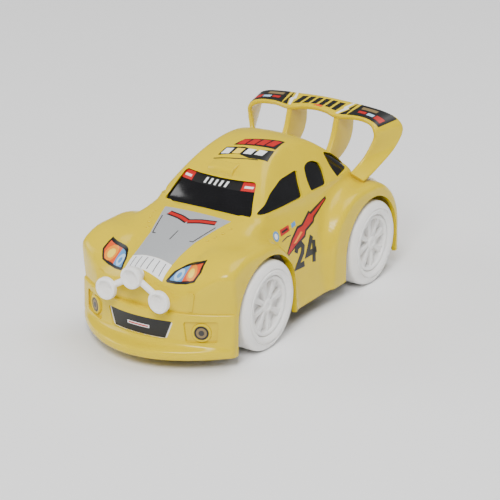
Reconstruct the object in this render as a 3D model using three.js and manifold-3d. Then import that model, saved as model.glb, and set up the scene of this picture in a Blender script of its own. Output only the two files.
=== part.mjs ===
// Pull-back toy car: moulded body with a rear wing, a lamp bar, a glazing liner,
// a chassis plate, four wheels on two axles and a geared pull-back motor.
// Frame: +X is the car's left side, -Y is its front, +Z is up, z = 0 is the ground.
import * as THREE from 'three';
import { LoftGeometry } from 'three/addons/geometries/LoftGeometry.js';
import { mergeVertices } from 'three/addons/utils/BufferGeometryUtils.js';
import Module from 'manifold-3d';

const wasm = await Module();
wasm.setup();

// ---------------------------------------------------------------- driving dimensions (mm)
const LENGTH = 160;
const HALF_LENGTH = LENGTH / 2;
const HALF_WIDTH = 40;
const WHEEL_RADIUS = 19.5;
const TYRE_WIDTH = 13.2;
const FRONT_AXLE_Y = -33.3;
const REAR_AXLE_Y = 53.2;
const AXLE_RADIUS = 1.0;
const AXLE_BORE = 1.35;
const GAP = 0.3;
const BODY_WALL = 1.8;
const GLASS_WALL = 1.2;
const GLASS_GAP = 0.5;
const GLASS_DEPTH = 0.8;
const BODY_HALF_WIDTH = 38.5;
const SKIRT_Z = 8.2;
const CAVITY_FLOOR_Z = -4;
const BELT_Z = 52.5;
const CABIN_BASE_Z = 42;
const SIDE_LEAN = 0.62;
const ARCH_RADIUS = 22.6;
const ARCH_INNER_X = 25;
const CHASSIS_Z = 8.6;
const CHASSIS_THICKNESS = 1.6;
const SCREW_BOSS_HEIGHT = 3.4;
const SCREW_SEAT_DEPTH = 1.8;
const SCREW_HEAD_RADIUS = 2.1;
const SCREW_HEAD_HEIGHT = 1.2;
const SCREW_RADIUS = 1.0;
const SCREW_BORE = 1.35;
const GEAR_MODULE = 0.8;
const PINION_TEETH = 10;
const WHEEL_TEETH = 24;
const GEAR_THICKNESS = 2.2;

const TAU = Math.PI * 2;

// ---------------------------------------------------------------- materials
function plastic(color, roughness = 0.35, metalness = 0) {
  return new THREE.MeshStandardMaterial({ color, roughness, metalness });
}

const BODY_YELLOW = plastic(0xffd800, 0.28);
const MILKY_WHITE = plastic(0xf4f2ee, 0.4);
const GLAZING_BLACK = plastic(0x0b0b0d, 0.12);
const CHASSIS_BLACK = plastic(0x151515, 0.5);
const MOTOR_GREY = plastic(0xd8d8d4, 0.45);
const GEAR_WHITE = plastic(0xe9e4d6, 0.45);
const STEEL = plastic(0xb9bcc0, 0.3, 1);

// ---------------------------------------------------------------- solids
const model = new THREE.Group();

function toManifold(geometry) {
  const bare = new THREE.BufferGeometry();
  bare.setAttribute('position', geometry.getAttribute('position'));
  bare.setIndex(geometry.index);
  const merged = mergeVertices(bare, 1e-4);
  const vertProperties = new Float32Array(merged.attributes.position.array);
  const triVerts = new Uint32Array(merged.index.array);
  return new wasm.Manifold(new wasm.Mesh({ numProp: 3, vertProperties, triVerts }));
}

function toGeometry(solid) {
  const mesh = solid.getMesh();
  const geometry = new THREE.BufferGeometry();
  geometry.setAttribute('position', new THREE.BufferAttribute(mesh.vertProperties, 3));
  geometry.setIndex(new THREE.BufferAttribute(mesh.triVerts, 1));
  geometry.computeVertexNormals();
  return geometry;
}

function addPart(name, solid, material, x = 0, y = 0, z = 0) {
  const geometry = solid.isBufferGeometry ? solid : toGeometry(solid);
  const mesh = new THREE.Mesh(geometry, material);
  mesh.name = name;
  mesh.position.set(x, y, z);
  model.add(mesh);
  return mesh;
}

function box(x0, x1, y0, y1, z0, z1) {
  const geometry = new THREE.BoxGeometry(x1 - x0, y1 - y0, z1 - z0);
  geometry.translate((x0 + x1) / 2, (y0 + y1) / 2, (z0 + z1) / 2);
  return toManifold(geometry);
}

// A cylinder along X from x0 to x1.
function rodX(radius, x0, x1, y, z, segments = 24) {
  const geometry = new THREE.CylinderGeometry(radius, radius, x1 - x0, segments);
  geometry.rotateZ(-Math.PI / 2);
  geometry.translate((x0 + x1) / 2, y, z);
  return toManifold(geometry);
}

// A cylinder along Z from z0 to z1.
function rodZ(radius, x, y, z0, z1, segments = 20) {
  const geometry = new THREE.CylinderGeometry(radius, radius, z1 - z0, segments);
  geometry.rotateX(Math.PI / 2);
  geometry.translate(x, y, (z0 + z1) / 2);
  return toManifold(geometry);
}

// A cylinder between two points.
function rodBetween(radius, from, to, segments = 16) {
  const along = new THREE.Vector3().subVectors(to, from);
  const geometry = new THREE.CylinderGeometry(radius, radius, along.length(), segments);
  geometry.applyQuaternion(new THREE.Quaternion().setFromUnitVectors(
    new THREE.Vector3(0, 1, 0), along.clone().normalize()));
  geometry.translate((from.x + to.x) / 2, (from.y + to.y) / 2, (from.z + to.z) / 2);
  return toManifold(geometry);
}

// A profile of [radius, distance] points turned about the X axis.
function turnedX(profile, segments) {
  const points = profile.map(([radius, along]) => new THREE.Vector2(radius, along));
  const geometry = new THREE.LatheGeometry(points, segments);
  geometry.rotateZ(-Math.PI / 2);
  return toManifold(geometry);
}

function outline(points) {
  return new THREE.Shape(points.map(([u, v]) => new THREE.Vector2(u, v)));
}

// An outline in (y, z), extruded along X.
function plateX(shape, x0, x1, curveSegments = 12) {
  const geometry = new THREE.ExtrudeGeometry(shape, { depth: x1 - x0, bevelEnabled: false, curveSegments });
  geometry.applyMatrix4(new THREE.Matrix4().set(0, 0, 1, x0, 1, 0, 0, 0, 0, 1, 0, 0, 0, 0, 0, 1));
  return toManifold(geometry);
}

// An outline in (x, z), extruded along Y.
function plateY(shape, y0, y1, curveSegments = 12) {
  const geometry = new THREE.ExtrudeGeometry(shape, { depth: y1 - y0, bevelEnabled: false, curveSegments });
  geometry.applyMatrix4(new THREE.Matrix4().set(1, 0, 0, 0, 0, 0, -1, y1, 0, 1, 0, 0, 0, 0, 0, 1));
  return toManifold(geometry);
}

// An outline in (x, y), extruded along Z.
function plateZ(shape, z0, z1, curveSegments = 12) {
  const geometry = new THREE.ExtrudeGeometry(shape, { depth: z1 - z0, bevelEnabled: false, curveSegments });
  geometry.translate(0, 0, z0);
  return toManifold(geometry);
}

function union(solids) {
  return solids.reduce((all, solid) => all.add(solid));
}

// ---------------------------------------------------------------- the body's form
// Each face is a plane or a drum with its own place, slope, bow or crown, and a
// steepness that turns a height difference into a distance.
const BONNET = { y: -30, z: 52.2, slope: 0.3, crown: 0.0035, steepness: 1.044 };
const RIDGE = { x: 19.4, y: -33.3, alongX: 0.888, alongY: 0.46, fall: 0.36, steepness: 1.12 };
const BELT_TOP_Z = 52.6;
const DECK = { y: 50, z: 50.4, slope: 0.3, crown: 0.001, steepness: 1.044 };
const FLANK = { x: 34.6, z: 22, lean: 0.16, tuckZ: 30, tuck: 0.0065, steepness: 1.03 };
const NOSE = { y: 70.6, z: 24, bow: 190, rake: 0.12 };
const TAIL = { y: 78.2, z: 28, bow: 1200, rake: 0.3, steepness: 1.05 };
const ROOF = { y: 17, z: 24, radius: 50.2, bow: 190 };
const WINDSCREEN_FACE = { y: -31, z: 52, bow: 95, alongY: 0.648, alongZ: 0.762 };
const REAR_SCREEN_FACE = { y: 67, z: 48, bow: 260, alongY: 0.585, alongZ: 0.811 };
const CABIN_SIDE = { x: 27.8, y: 16, bow: 1500, lean: 0.6, steepness: 1.18 };
const FRONT_WING = { start: -46.5, end: -36, z: 19.5, radius: 27.4, edge: 10.5, innerX: 16 };
const REAR_WING = { start: 43.5, end: 53.2, z: 22, radius: 25.4, edge: 8.5, innerX: 12 };
const WING_OUTER_X = 39.2;
const WING_NOSE = { y: 67.5, z: 24, bow: 400, rake: 0.1 };
const BEHIND_BUMPER = { y: 72.2, z: 24, bow: 105, rake: 0.12, steepness: 1.15 };
const BLEND = {
  ridge: 1.6, belt: 5, deck: 10, flank: 6, nose: 13, tail: 6, screen: 6, cabinSide: 3.6, cabin: 2.5,
  wingInner: 14, wingNose: 10, frontWing: 5, rearWing: 6, bumper: 2, width: 1, skirt: 0.6,
};

// Signed fields, negative inside. smoothMax rounds the edge where two faces meet and
// smoothMin fills the valley where two volumes meet.
function smoothMin(a, b, radius) {
  const h = Math.max(radius - Math.abs(a - b), 0) / radius;
  return Math.min(a, b) - h * h * h * radius / 6;
}

function smoothMax(a, b, radius) {
  return -smoothMin(-a, -b, radius);
}

// A bowed end face that leans back as it rises.
function noseFace(face, x, y, z) {
  return -(y + face.y - x * x / face.bow) - face.rake * (z - face.z);
}

// Lower body: sloping bonnet, belt line, rear deck, sides that lean in, round nose.
function lowerBody(x, y, z) {
  const overBonnet = z - BONNET.z - BONNET.slope * (y - BONNET.y);
  const pastRidge = (x - RIDGE.x) * RIDGE.alongX - (y - RIDGE.y) * RIDGE.alongY;
  const middle = (overBonnet + BONNET.crown * x * x) / BONNET.steepness;
  const shoulder = (overBonnet + RIDGE.fall * pastRidge) / RIDGE.steepness;
  const bonnet = smoothMax(middle, shoulder, BLEND.ridge);
  const deck = (z - DECK.z + DECK.slope * (y - DECK.y) + DECK.crown * x * x) / DECK.steepness;
  const top = smoothMax(smoothMax(bonnet, z - BELT_TOP_Z, BLEND.belt), deck, BLEND.deck);
  const tuck = FLANK.tuck * Math.max(z - FLANK.tuckZ, 0) ** 2;
  const side = (x - FLANK.x + FLANK.lean * (z - FLANK.z) + tuck) / FLANK.steepness;
  const nose = noseFace(NOSE, x, y, z);
  const tail = (y - TAIL.y + x * x / TAIL.bow + TAIL.rake * Math.max(z - TAIL.z, 0)) / TAIL.steepness;
  const flanked = smoothMax(top, side, BLEND.flank);
  return smoothMax(smoothMax(flanked, nose, BLEND.nose), tail, BLEND.tail);
}

// Cabin: arched roof, raked windscreen and rear screen, sides that lean in.
function cabin(x, y, z) {
  const roof = Math.hypot(y - ROOF.y, z - ROOF.z) - ROOF.radius + x * x / ROOF.bow;
  const front = WINDSCREEN_FACE;
  const windscreen = -(y - front.y - x * x / front.bow) * front.alongY + (z - front.z) * front.alongZ;
  const rear = REAR_SCREEN_FACE;
  const rearScreen = (y - rear.y + x * x / rear.bow) * rear.alongY + (z - rear.z) * rear.alongZ;
  const bow = (y - CABIN_SIDE.y) ** 2 / CABIN_SIDE.bow;
  const lean = CABIN_SIDE.lean * Math.max(z - BELT_Z, 0);
  const side = (x - CABIN_SIDE.x + bow + lean) / CABIN_SIDE.steepness;
  const screens = smoothMax(smoothMax(roof, windscreen, BLEND.screen), rearScreen, BLEND.screen);
  return Math.max(smoothMax(screens, side, BLEND.cabinSide), CABIN_BASE_Z - z);
}

// A wing over a wheel: a long arch across the car with a rounded outer edge.
function wheelWing(x, y, z, wing) {
  const dy = Math.max(wing.start - y, y - wing.end, 0);
  const arch = Math.hypot(dy, Math.max(z - wing.z, 0)) - wing.radius;
  return smoothMax(smoothMax(arch, x - WING_OUTER_X, wing.edge), wing.innerX - x, BLEND.wingInner);
}

function bodyField(px, y, z, floorZ = SKIRT_Z) {
  const x = Math.abs(px);
  let field = smoothMin(lowerBody(x, y, z), cabin(x, y, z), BLEND.cabin);
  const front = smoothMax(wheelWing(x, y, z, FRONT_WING), noseFace(WING_NOSE, x, y, z), BLEND.wingNose);
  field = smoothMin(field, front, BLEND.frontWing);
  field = smoothMin(field, wheelWing(x, y, z, REAR_WING), BLEND.rearWing);
  const behindBumper = noseFace(BEHIND_BUMPER, x, y, z) / BEHIND_BUMPER.steepness;
  field = smoothMax(field, behindBumper, BLEND.bumper);
  field = smoothMax(field, x - BODY_HALF_WIDTH, BLEND.width);
  return smoothMax(field, floorZ - z, BLEND.skirt);
}

// The surface where the field has a given level, found along rays that fan out from a
// spine inside the car: round each ring by `turn`, and from nose to tail by `tilt`.
const SPINE_HALF = 50;
const SPINE_Y = 3;
const SPINE_Z = 24;
const RINGS = 34;
const RAYS = 36;
const END_TILT = 1.5;
const HALVINGS = 14;

function hitLevel(origin, direction, level, floorZ) {
  const inside = (t) => bodyField(origin.x + direction.x * t, origin.y + direction.y * t,
    origin.z + direction.z * t, floorZ) < level;
  let far = 1;
  while (inside(far)) far += 1;
  let near = far - 1;
  for (let step = 0; step < HALVINGS; step += 1) {
    const middle = (near + far) / 2;
    if (inside(middle)) near = middle;
    else far = middle;
  }
  return origin.clone().addScaledVector(direction, near);
}

function levelSurface(level, floorZ = SKIRT_Z) {
  const sections = [];
  for (let ring = 0; ring <= RINGS; ring += 1) {
    const tilt = END_TILT * (2 * ring / RINGS - 1);
    const origin = new THREE.Vector3(0, SPINE_Y + SPINE_HALF * Math.sin(tilt), SPINE_Z);
    const section = [];
    for (let ray = 0; ray < RAYS; ray += 1) {
      const turn = (ray + 0.5) / RAYS * TAU;
      const direction = new THREE.Vector3(
        -Math.cos(turn) * Math.cos(tilt), Math.sin(tilt), Math.sin(turn) * Math.cos(tilt));
      section.push(hitLevel(origin, direction, level, floorZ));
    }
    sections.push(section);
  }
  return toManifold(new LoftGeometry(sections, { capStart: true, capEnd: true }));
}

// The height of the body's surface above a point of the plan.
function surfaceZ(x, y) {
  let low = 30;
  let high = 90;
  for (let step = 0; step < 2 * HALVINGS; step += 1) {
    const middle = (low + high) / 2;
    if (bodyField(x, y, middle) < 0) low = middle;
    else high = middle;
  }
  return low;
}

// Where a ray from outside stops, just clear of the body's surface.
function restOn(from, direction) {
  const point = from.clone();
  while (bodyField(point.x, point.y, point.z) > 4 * GAP) point.addScaledVector(direction, 0.05);
  return point;
}

// ---------------------------------------------------------------- bumpers
const LIP = { halfWidth: 38.3, y: -HALF_LENGTH, bow: 72, backY: -50, z0: 5.5, z1: 9.5 };
const FRONT_BUMPER = { halfWidth: 37.9, y: -73.2, bow: 105, backY: -50, z0: 5.5, z1: 24.6 };
const REAR_BUMPER = { halfWidth: 38.2, y: HALF_LENGTH, bow: 900, backY: 64, z0: 10.2, z1: 24.8 };
const BUMPER_STEPS = 16;
const BELOW_SKIRT_Z = -5;

// A bar whose end face bows: furthest out at the middle, easing back to the sides.
function bowedBar(bar) {
  const points = [[bar.halfWidth, bar.backY], [-bar.halfWidth, bar.backY]];
  for (let step = 0; step <= BUMPER_STEPS; step += 1) {
    const x = -bar.halfWidth + 2 * bar.halfWidth * step / BUMPER_STEPS;
    points.push([x, bar.y + Math.sign(bar.backY - bar.y) * x * x / bar.bow]);
  }
  return plateZ(outline(points), bar.z0, bar.z1);
}

// The same bar drawn in by a wall, and open below.
function hollowOf(bar, wall) {
  return bowedBar({
    ...bar,
    halfWidth: bar.halfWidth - wall,
    y: bar.y - Math.sign(bar.y) * wall,
    z0: BELOW_SKIRT_Z,
    z1: bar.z1 - wall,
  });
}

// ---------------------------------------------------------------- windows
const SIDE_WINDOW_X = 21.4;
const WINDSCREEN = [[-22.2, 51.4], [22.2, 51.4], [17.9, 63.3], [-17.9, 63.3]];
const SIDE_WINDOWS = [
  [[-20.6, 52.6], [10.1, 52.1], [12, 57.4], [14.4, 61.9], [12.8, 62.6], [1, 62], [-9.6, 58.9], [-18.2, 54.6]],
  [[17.3, 52.6], [30, 52], [32.1, 57.6], [31.9, 60.8], [27.6, 62.9], [23.6, 63.2], [20, 62.2], [18, 57.8]],
  [[40.2, 52.2], [53.4, 54.2], [45.6, 60.9], [37.8, 64], [38.2, 57.6]],
];
const SCREEN_FOOT_Y = -26;
const SCREEN_TOP_Y = -3;
const WINDOW_CUT_DEPTH = 24;
const CORNER_SHARE = 1.6;
const SIDE_SHARE = 1.5;

// The same outline drawn in towards its middle.
function shrunk(points, ease) {
  const middle = [0, 1].map((k) => points.reduce((sum, point) => sum + point[k], 0) / points.length);
  return points.map(([u, v]) => {
    const away = Math.hypot(u - middle[0], v - middle[1]);
    const share = 1 - CORNER_SHARE * ease / away;
    return [middle[0] + (u - middle[0]) * share, middle[1] + (v - middle[1]) * share];
  });
}

// A cutter for the left side that leans in with the cabin, so it leaves the pillars.
function sideWindow(points, ease) {
  const shape = outline(shrunk(points, ease));
  const geometry = new THREE.ExtrudeGeometry(shape, { depth: WINDOW_CUT_DEPTH, bevelEnabled: false });
  const startX = SIDE_WINDOW_X + SIDE_SHARE * ease + SIDE_LEAN * BELT_Z;
  geometry.applyMatrix4(new THREE.Matrix4().set(
    0, -SIDE_LEAN, 1, startX, 1, 0, 0, 0, 0, 1, 0, 0, 0, 0, 0, 1));
  return toManifold(geometry);
}

// Cutters for the openings; `ease` shrinks them for the raised panes behind.
function windowSolids(ease) {
  const screen = plateY(outline(shrunk(WINDSCREEN, ease)), SCREEN_FOOT_Y + ease, SCREEN_TOP_Y - ease);
  const side = union(SIDE_WINDOWS.map((points) => sideWindow(points, ease)));
  return union([screen, side, side.mirror([1, 0, 0])]);
}

// ---------------------------------------------------------------- body shell
const BODY_SCREWS = [[-14, -52], [14, -52], [-17, 66.5], [17, 66.5]];
const POST_RADIUS = 3.2;
const SCREW_TIP_Z = 20;
const POST_BOTTOM_Z = CHASSIS_Z + SCREW_BOSS_HEIGHT + GAP;
const SCREW_BOSS_RADIUS = 3.6;
const POST_BORE_TOP_Z = 22;
const ARCH_LOWERED = 0.7;
const REAR_ARCH_FORWARD = 0.6;
const ARCH_SKIRT_Z = 14;
const SCOOP_OUTLINE = [[-12.9, 61], [-12.7, 65.6], [-11.9, 67], [-7, 68.3], [-2, 67.4], [-2, 61]];
const SCOOP_HALF_WIDTH = 6.4;
const GLAZING_SPAN = { y0: -29, y1: 64, z0: 50.7, z1: 80 };

function wheelArches() {
  const cuts = [];
  for (const side of [-1, 1]) {
    for (const y of [FRONT_AXLE_Y, REAR_AXLE_Y - REAR_ARCH_FORWARD]) {
      const x0 = side > 0 ? ARCH_INNER_X : -HALF_WIDTH - 5;
      const x1 = side > 0 ? HALF_WIDTH + 5 : -ARCH_INNER_X;
      cuts.push(rodX(ARCH_RADIUS, x0, x1, y, WHEEL_RADIUS - ARCH_LOWERED, 48));
      cuts.push(box(x0, x1, y - ARCH_RADIUS - 1, y + ARCH_RADIUS + 1, BELOW_SKIRT_Z, ARCH_SKIRT_Z));
    }
  }
  return union(cuts);
}

function roofScoop() {
  return plateX(outline(SCOOP_OUTLINE), -SCOOP_HALF_WIDTH, SCOOP_HALF_WIDTH);
}

function bodyShell(outer, inner) {
  const posts = BODY_SCREWS.map(([x, y]) => (
    rodZ(POST_RADIUS, x, y, POST_BOTTOM_Z, surfaceZ(x, y) - BODY_WALL - 0.1, 16)));
  const bores = BODY_SCREWS.map(([x, y]) => (
    rodZ(SCREW_BORE, x, y, POST_BOTTOM_Z - 1, POST_BORE_TOP_Z, 12)));
  const hollows = [hollowOf(FRONT_BUMPER, BODY_WALL), hollowOf(REAR_BUMPER, BODY_WALL)];
  return union([outer, bowedBar(FRONT_BUMPER), bowedBar(REAR_BUMPER), bowedBar(LIP), roofScoop()])
    .subtract(union([inner, ...hollows]))
    .subtract(wheelArches())
    .subtract(windowSolids(0))
    .add(union(posts))
    .subtract(union(bores));
}

function glazing(paneOuter, outer, inner) {
  const panes = paneOuter.intersect(windowSolids(GLASS_GAP));
  const { y0, y1, z0, z1 } = GLAZING_SPAN;
  const cabinOnly = box(-HALF_WIDTH, HALF_WIDTH, y0, y1, z0, z1);
  return union([outer, panes]).subtract(inner).intersect(cabinOnly);
}

// ---------------------------------------------------------------- rear wing
// A ribbon between two edge curves, from the middle of the blade round to one foot.
const WING_THICKNESS = 2.5;
const FRONT_EDGE = [
  [0, 65.4, 73], [6, 64.4, 72.8], [12.5, 62.2, 72.2], [22, 64.4, 72.3], [29.5, 62.8, 71.9],
  [33, 61.2, 69.6], [33.2, 61.4, 65.4], [30.6, 59.5, 58.6], [28.4, 56.2, 54.4], [27, 51.4, 50.8],
];
const REAR_EDGE = [
  [0, 76.3, 75.2], [6, 76.2, 75.1], [12.5, 76, 74.9], [22, 75.7, 74.4], [31, 75.6, 73.4],
  [36.4, 77.2, 70.8], [38.2, 78.2, 66], [37.4, 71.5, 58.4], [35.4, 60.6, 51.8], [33.4, 52.6, 47.8],
];
const WING_STEPS = 18;
const WING_CORNERS = 10;
const WING_SQUARENESS = 0.8;
const STRUT_X = 12.5;
const STRUT_THICKNESS = 2.6;

function edgeCurve(points) {
  const mirror = points.slice(1).reverse().map(([x, y, z]) => new THREE.Vector3(-x, y, z));
  return new THREE.CatmullRomCurve3([...mirror, ...points.map((p) => new THREE.Vector3(...p))]);
}

function wingHoop() {
  const front = edgeCurve(FRONT_EDGE);
  const rear = edgeCurve(REAR_EDGE);
  const sections = [];
  for (let step = 0; step <= 2 * WING_STEPS; step += 1) {
    const t = step / (2 * WING_STEPS);
    const a = front.getPoint(t);
    const b = rear.getPoint(t);
    const middle = a.clone().add(b).multiplyScalar(0.5);
    const chord = b.clone().sub(a);
    const tangent = front.getTangent(t).add(rear.getTangent(t));
    const normal = tangent.clone().cross(chord).normalize();
    const section = [];
    for (let corner = 0; corner < WING_CORNERS; corner += 1) {
      const angle = corner / WING_CORNERS * TAU;
      const across = Math.sign(Math.cos(angle)) * Math.abs(Math.cos(angle)) ** WING_SQUARENESS / 2;
      const lift = Math.sin(angle) * WING_THICKNESS / 2;
      section.push(middle.clone().addScaledVector(chord, across).addScaledVector(normal, lift));
    }
    sections.push(section);
  }
  return toManifold(new LoftGeometry(sections, { capStart: true, capEnd: true }));
}

function wingStrut(x) {
  const shape = new THREE.Shape();
  shape.moveTo(63, 72.2);
  shape.lineTo(75, 74.4);
  shape.quadraticCurveTo(78.6, 66, 75.2, 59.5);
  shape.quadraticCurveTo(72, 54.2, 62.4, 51.2);
  shape.lineTo(60.2, 48.4);
  shape.lineTo(53.6, 54.6);
  shape.lineTo(55, 56.6);
  shape.quadraticCurveTo(60, 62, 61.6, 68);
  shape.closePath();
  return plateX(shape, x - STRUT_THICKNESS / 2, x + STRUT_THICKNESS / 2, 8);
}

// ---------------------------------------------------------------- lamp bar
const LAMP_RADIUS = 4.75;
const SIDE_LAMP = new THREE.Vector3(13.3, -77.2, 30.6);
const CENTRE_LAMP = new THREE.Vector3(0, -77.6, 38.4);
const SIDE_LAMP_LENGTH = 4.2;
const CENTRE_LAMP_LENGTH = 5.6;
const ARM_RADIUS = 1.35;
const STEM_RADIUS = 2.4;
const ARM_ROOT = new THREE.Vector3(0, 3.4, 0);
const ARM_END = new THREE.Vector3(0, 3, 0);

// A lamp with a dished face towards the front and a tapered back.
function lamp(centre, length) {
  const profile = [
    [0, 0.9], [2.6, 0.9], [3.4, 0], [LAMP_RADIUS, 0.2], [LAMP_RADIUS, 2.4], [3, length], [0, length],
  ];
  const points = profile.map(([radius, along]) => new THREE.Vector2(radius, along));
  const geometry = new THREE.LatheGeometry(points, 20);
  geometry.translate(centre.x, centre.y, centre.z);
  return toManifold(geometry);
}

function lampBar() {
  const parts = [lamp(CENTRE_LAMP, CENTRE_LAMP_LENGTH)];
  const hub = CENTRE_LAMP.clone().add(ARM_ROOT);
  for (const side of [-1, 1]) {
    const centre = new THREE.Vector3(side * SIDE_LAMP.x, SIDE_LAMP.y, SIDE_LAMP.z);
    parts.push(lamp(centre, SIDE_LAMP_LENGTH));
    parts.push(rodBetween(ARM_RADIUS, hub, centre.clone().add(ARM_END), 12));
  }
  const stem = rodBetween(STEM_RADIUS, hub, restOn(hub, new THREE.Vector3(0, 1, 0)), 16);
  return union([...parts, stem]);
}

// ---------------------------------------------------------------- wheels and axles
const RIM_RADIUS = 12.9;
const SPOKES = 8;
const SPOKE = { thickness: 2, length: 9.5, width: 2.1, centre: 7 };
const FACE_SET_BACK = 1.2;
const DISH_RADIUS = 11;
const DISH_DEPTH = 2.4;
const BACK_RADIUS = 11.4;
const WEB_BACK = 4.2;
const CAP_RADIUS = 3.1;
const HUB_RADIUS = 2.9;
const CAP_DEPTH = 3;
const AXLE_SET_BACK = 3.6;

function tyre() {
  const half = TYRE_WIDTH / 2;
  const inner = RIM_RADIUS + GAP;
  return turnedX([
    [inner, -half], [18.2, -half], [WHEEL_RADIUS, -half + 1.4], [WHEEL_RADIUS, half - 2.4],
    [17.8, half - 0.5], [16.6, half - 0.1], [16, half - 0.5], [15.6, half],
    [inner + 1.2, half], [inner, half - 0.8], [inner, -half],
  ], 28);
}

// A barrel dished on both sides, with a cap, spokes and a hub bored for the axle.
function rim(side) {
  const span = (a, b) => [Math.min(side * a, side * b), Math.max(side * a, side * b)];
  const back = -TYRE_WIDTH / 2;
  const face = TYRE_WIDTH / 2 - FACE_SET_BACK;
  const barrel = rodX(RIM_RADIUS, ...span(back, face), 0, 0, 24);
  const dish = rodX(DISH_RADIUS, ...span(face - DISH_DEPTH, face + 1), 0, 0, 24);
  const hollow = rodX(BACK_RADIUS, ...span(-TYRE_WIDTH, face - WEB_BACK), 0, 0, 24);
  const cap = rodX(CAP_RADIUS, ...span(face - CAP_DEPTH, face - 0.4), 0, 0, 16);
  const solids = [barrel.subtract(dish.add(hollow)), cap];
  for (let spoke = 0; spoke < SPOKES; spoke += 1) {
    const blade = new THREE.BoxGeometry(SPOKE.thickness, SPOKE.length, SPOKE.width);
    blade.translate(side * (face - 1.8), SPOKE.centre, 0);
    blade.rotateX(spoke / SPOKES * TAU);
    solids.push(toManifold(blade));
  }
  const hub = rodX(HUB_RADIUS, ...span(back, face - CAP_DEPTH), 0, 0, 16);
  const bore = rodX(AXLE_BORE, ...span(-TYRE_WIDTH, face - 1.8), 0, 0, 12);
  return union([...solids, hub]).subtract(bore);
}

function axle(y) {
  const halfLength = HALF_WIDTH - AXLE_SET_BACK;
  return rodX(AXLE_RADIUS, -halfLength, halfLength, y, WHEEL_RADIUS, 16);
}

// ---------------------------------------------------------------- gears
const PRESSURE_ANGLE = Math.PI / 9;
const BACKLASH = 0.16;
const ROOT_DEPTH = 1.2;
const TIP_HEIGHT = 0.85;

// Involute teeth: half the angle that a tooth fills at a radius, less the play.
function toothHalfAngle(teeth, radius) {
  const pitch = teeth * GEAR_MODULE / 2;
  const base = pitch * Math.cos(PRESSURE_ANGLE);
  const involute = (r) => {
    const alpha = Math.acos(Math.min(1, base / r));
    return Math.tan(alpha) - alpha;
  };
  const play = BACKLASH / pitch / 2;
  return Math.PI / 2 / teeth - play + involute(pitch) - involute(Math.max(radius, base));
}

function gearOutline(teeth, boreRadius, turn) {
  const pitch = teeth * GEAR_MODULE / 2;
  const root = pitch - ROOT_DEPTH * GEAR_MODULE;
  const tip = pitch + TIP_HEIGHT * GEAR_MODULE;
  const radii = [root, pitch, tip];
  const points = [];
  for (let tooth = 0; tooth < teeth; tooth += 1) {
    const centre = turn + tooth / teeth * TAU;
    const flank = radii.map((r) => [r, toothHalfAngle(teeth, r)]);
    for (const [r, half] of flank) {
      points.push([r * Math.cos(centre - half), r * Math.sin(centre - half)]);
    }
    for (const [r, half] of flank.reverse()) {
      points.push([r * Math.cos(centre + half), r * Math.sin(centre + half)]);
    }
  }
  const shape = outline(points);
  if (boreRadius) {
    const hole = new THREE.Path();
    hole.absarc(0, 0, boreRadius, 0, TAU, true);
    shape.holes.push(hole);
  }
  return shape;
}

const CENTRE_DISTANCE = (PINION_TEETH + WHEEL_TEETH) * GEAR_MODULE / 2;
const TRAIN_ANGLE = 165 / 180 * Math.PI;
const MIDDLE_GEAR = {
  y: REAR_AXLE_Y + CENTRE_DISTANCE * Math.cos(TRAIN_ANGLE),
  z: WHEEL_RADIUS + CENTRE_DISTANCE * Math.sin(TRAIN_ANGLE),
};
const SPRING_ANGLE = 195 / 180 * Math.PI;
const SPRING_GEAR = {
  y: MIDDLE_GEAR.y + CENTRE_DISTANCE * Math.cos(SPRING_ANGLE),
  z: MIDDLE_GEAR.z + CENTRE_DISTANCE * Math.sin(SPRING_ANGLE),
};
const DRIVE_PLANE_X = 4;
const SPRING_PLANE_X = 0.6;
const SHAFT_RADIUS = 1.2;

// ---------------------------------------------------------------- pull-back motor
const MOTOR = { x: 10.5, y0: 14.4, y1: 60.6, z0: 7.4, z1: 35.4, wall: 1.2 };
const EAR_Z = CHASSIS_Z + CHASSIS_THICKNESS + GAP;
const EAR_THICKNESS = 1.6;
const EAR_REACH = 6;
const EAR_START_X = 1.5;
const SHAFT_OVERHANG = 0.8;
const COLLAR_RADIUS = 2.6;
const ARBOR_RADIUS = 2.2;
const ARBOR_END_X = -8.4;
const MOTOR_SCREWS = [[-5.5, 11.4], [5.5, 11.4], [-5.5, 63.6], [5.5, 63.6]];

function motorHalf(side) {
  const { x, y0, y1, z0, z1, wall } = MOTOR;
  const span = (a, b) => [Math.min(side * a, side * b), Math.max(side * a, side * b)];
  const [x0, x1] = span(GAP / 2, x);
  const [w0, w1] = span(-1, x - wall);
  const [e0, e1] = span(EAR_START_X, x - 1);
  const shell = box(x0, x1, y0, y1, z0, z1)
    .subtract(box(w0, w1, y0 + wall, y1 - wall, z0 + wall, z1 - wall));
  const earTop = EAR_Z + EAR_THICKNESS;
  const ears = [
    box(e0, e1, y0 - EAR_REACH, y0 + wall / 2, EAR_Z, earTop),
    box(e0, e1, y1 - wall / 2, y1 + EAR_REACH, EAR_Z, earTop),
  ];
  const holes = [
    rodX(AXLE_BORE, x0 - 1, x1 + 1, REAR_AXLE_Y, WHEEL_RADIUS, 16),
    rodX(SHAFT_RADIUS + GAP, x0 - 1, x1 + 1, MIDDLE_GEAR.y, MIDDLE_GEAR.z, 16),
    rodX(SHAFT_RADIUS + GAP, x0 - 1, x1 + 1, SPRING_GEAR.y, SPRING_GEAR.z, 16),
    ...MOTOR_SCREWS.map(([sx, sy]) => rodZ(SCREW_BORE, sx, sy, EAR_Z - 1, earTop + 1, 12)),
  ];
  return union([shell, ...ears]).subtract(union(holes));
}

function gearAt(teeth, planeX, bore, turn) {
  return plateX(gearOutline(teeth, bore, turn), planeX - GEAR_THICKNESS / 2, planeX + GEAR_THICKNESS / 2);
}

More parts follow.
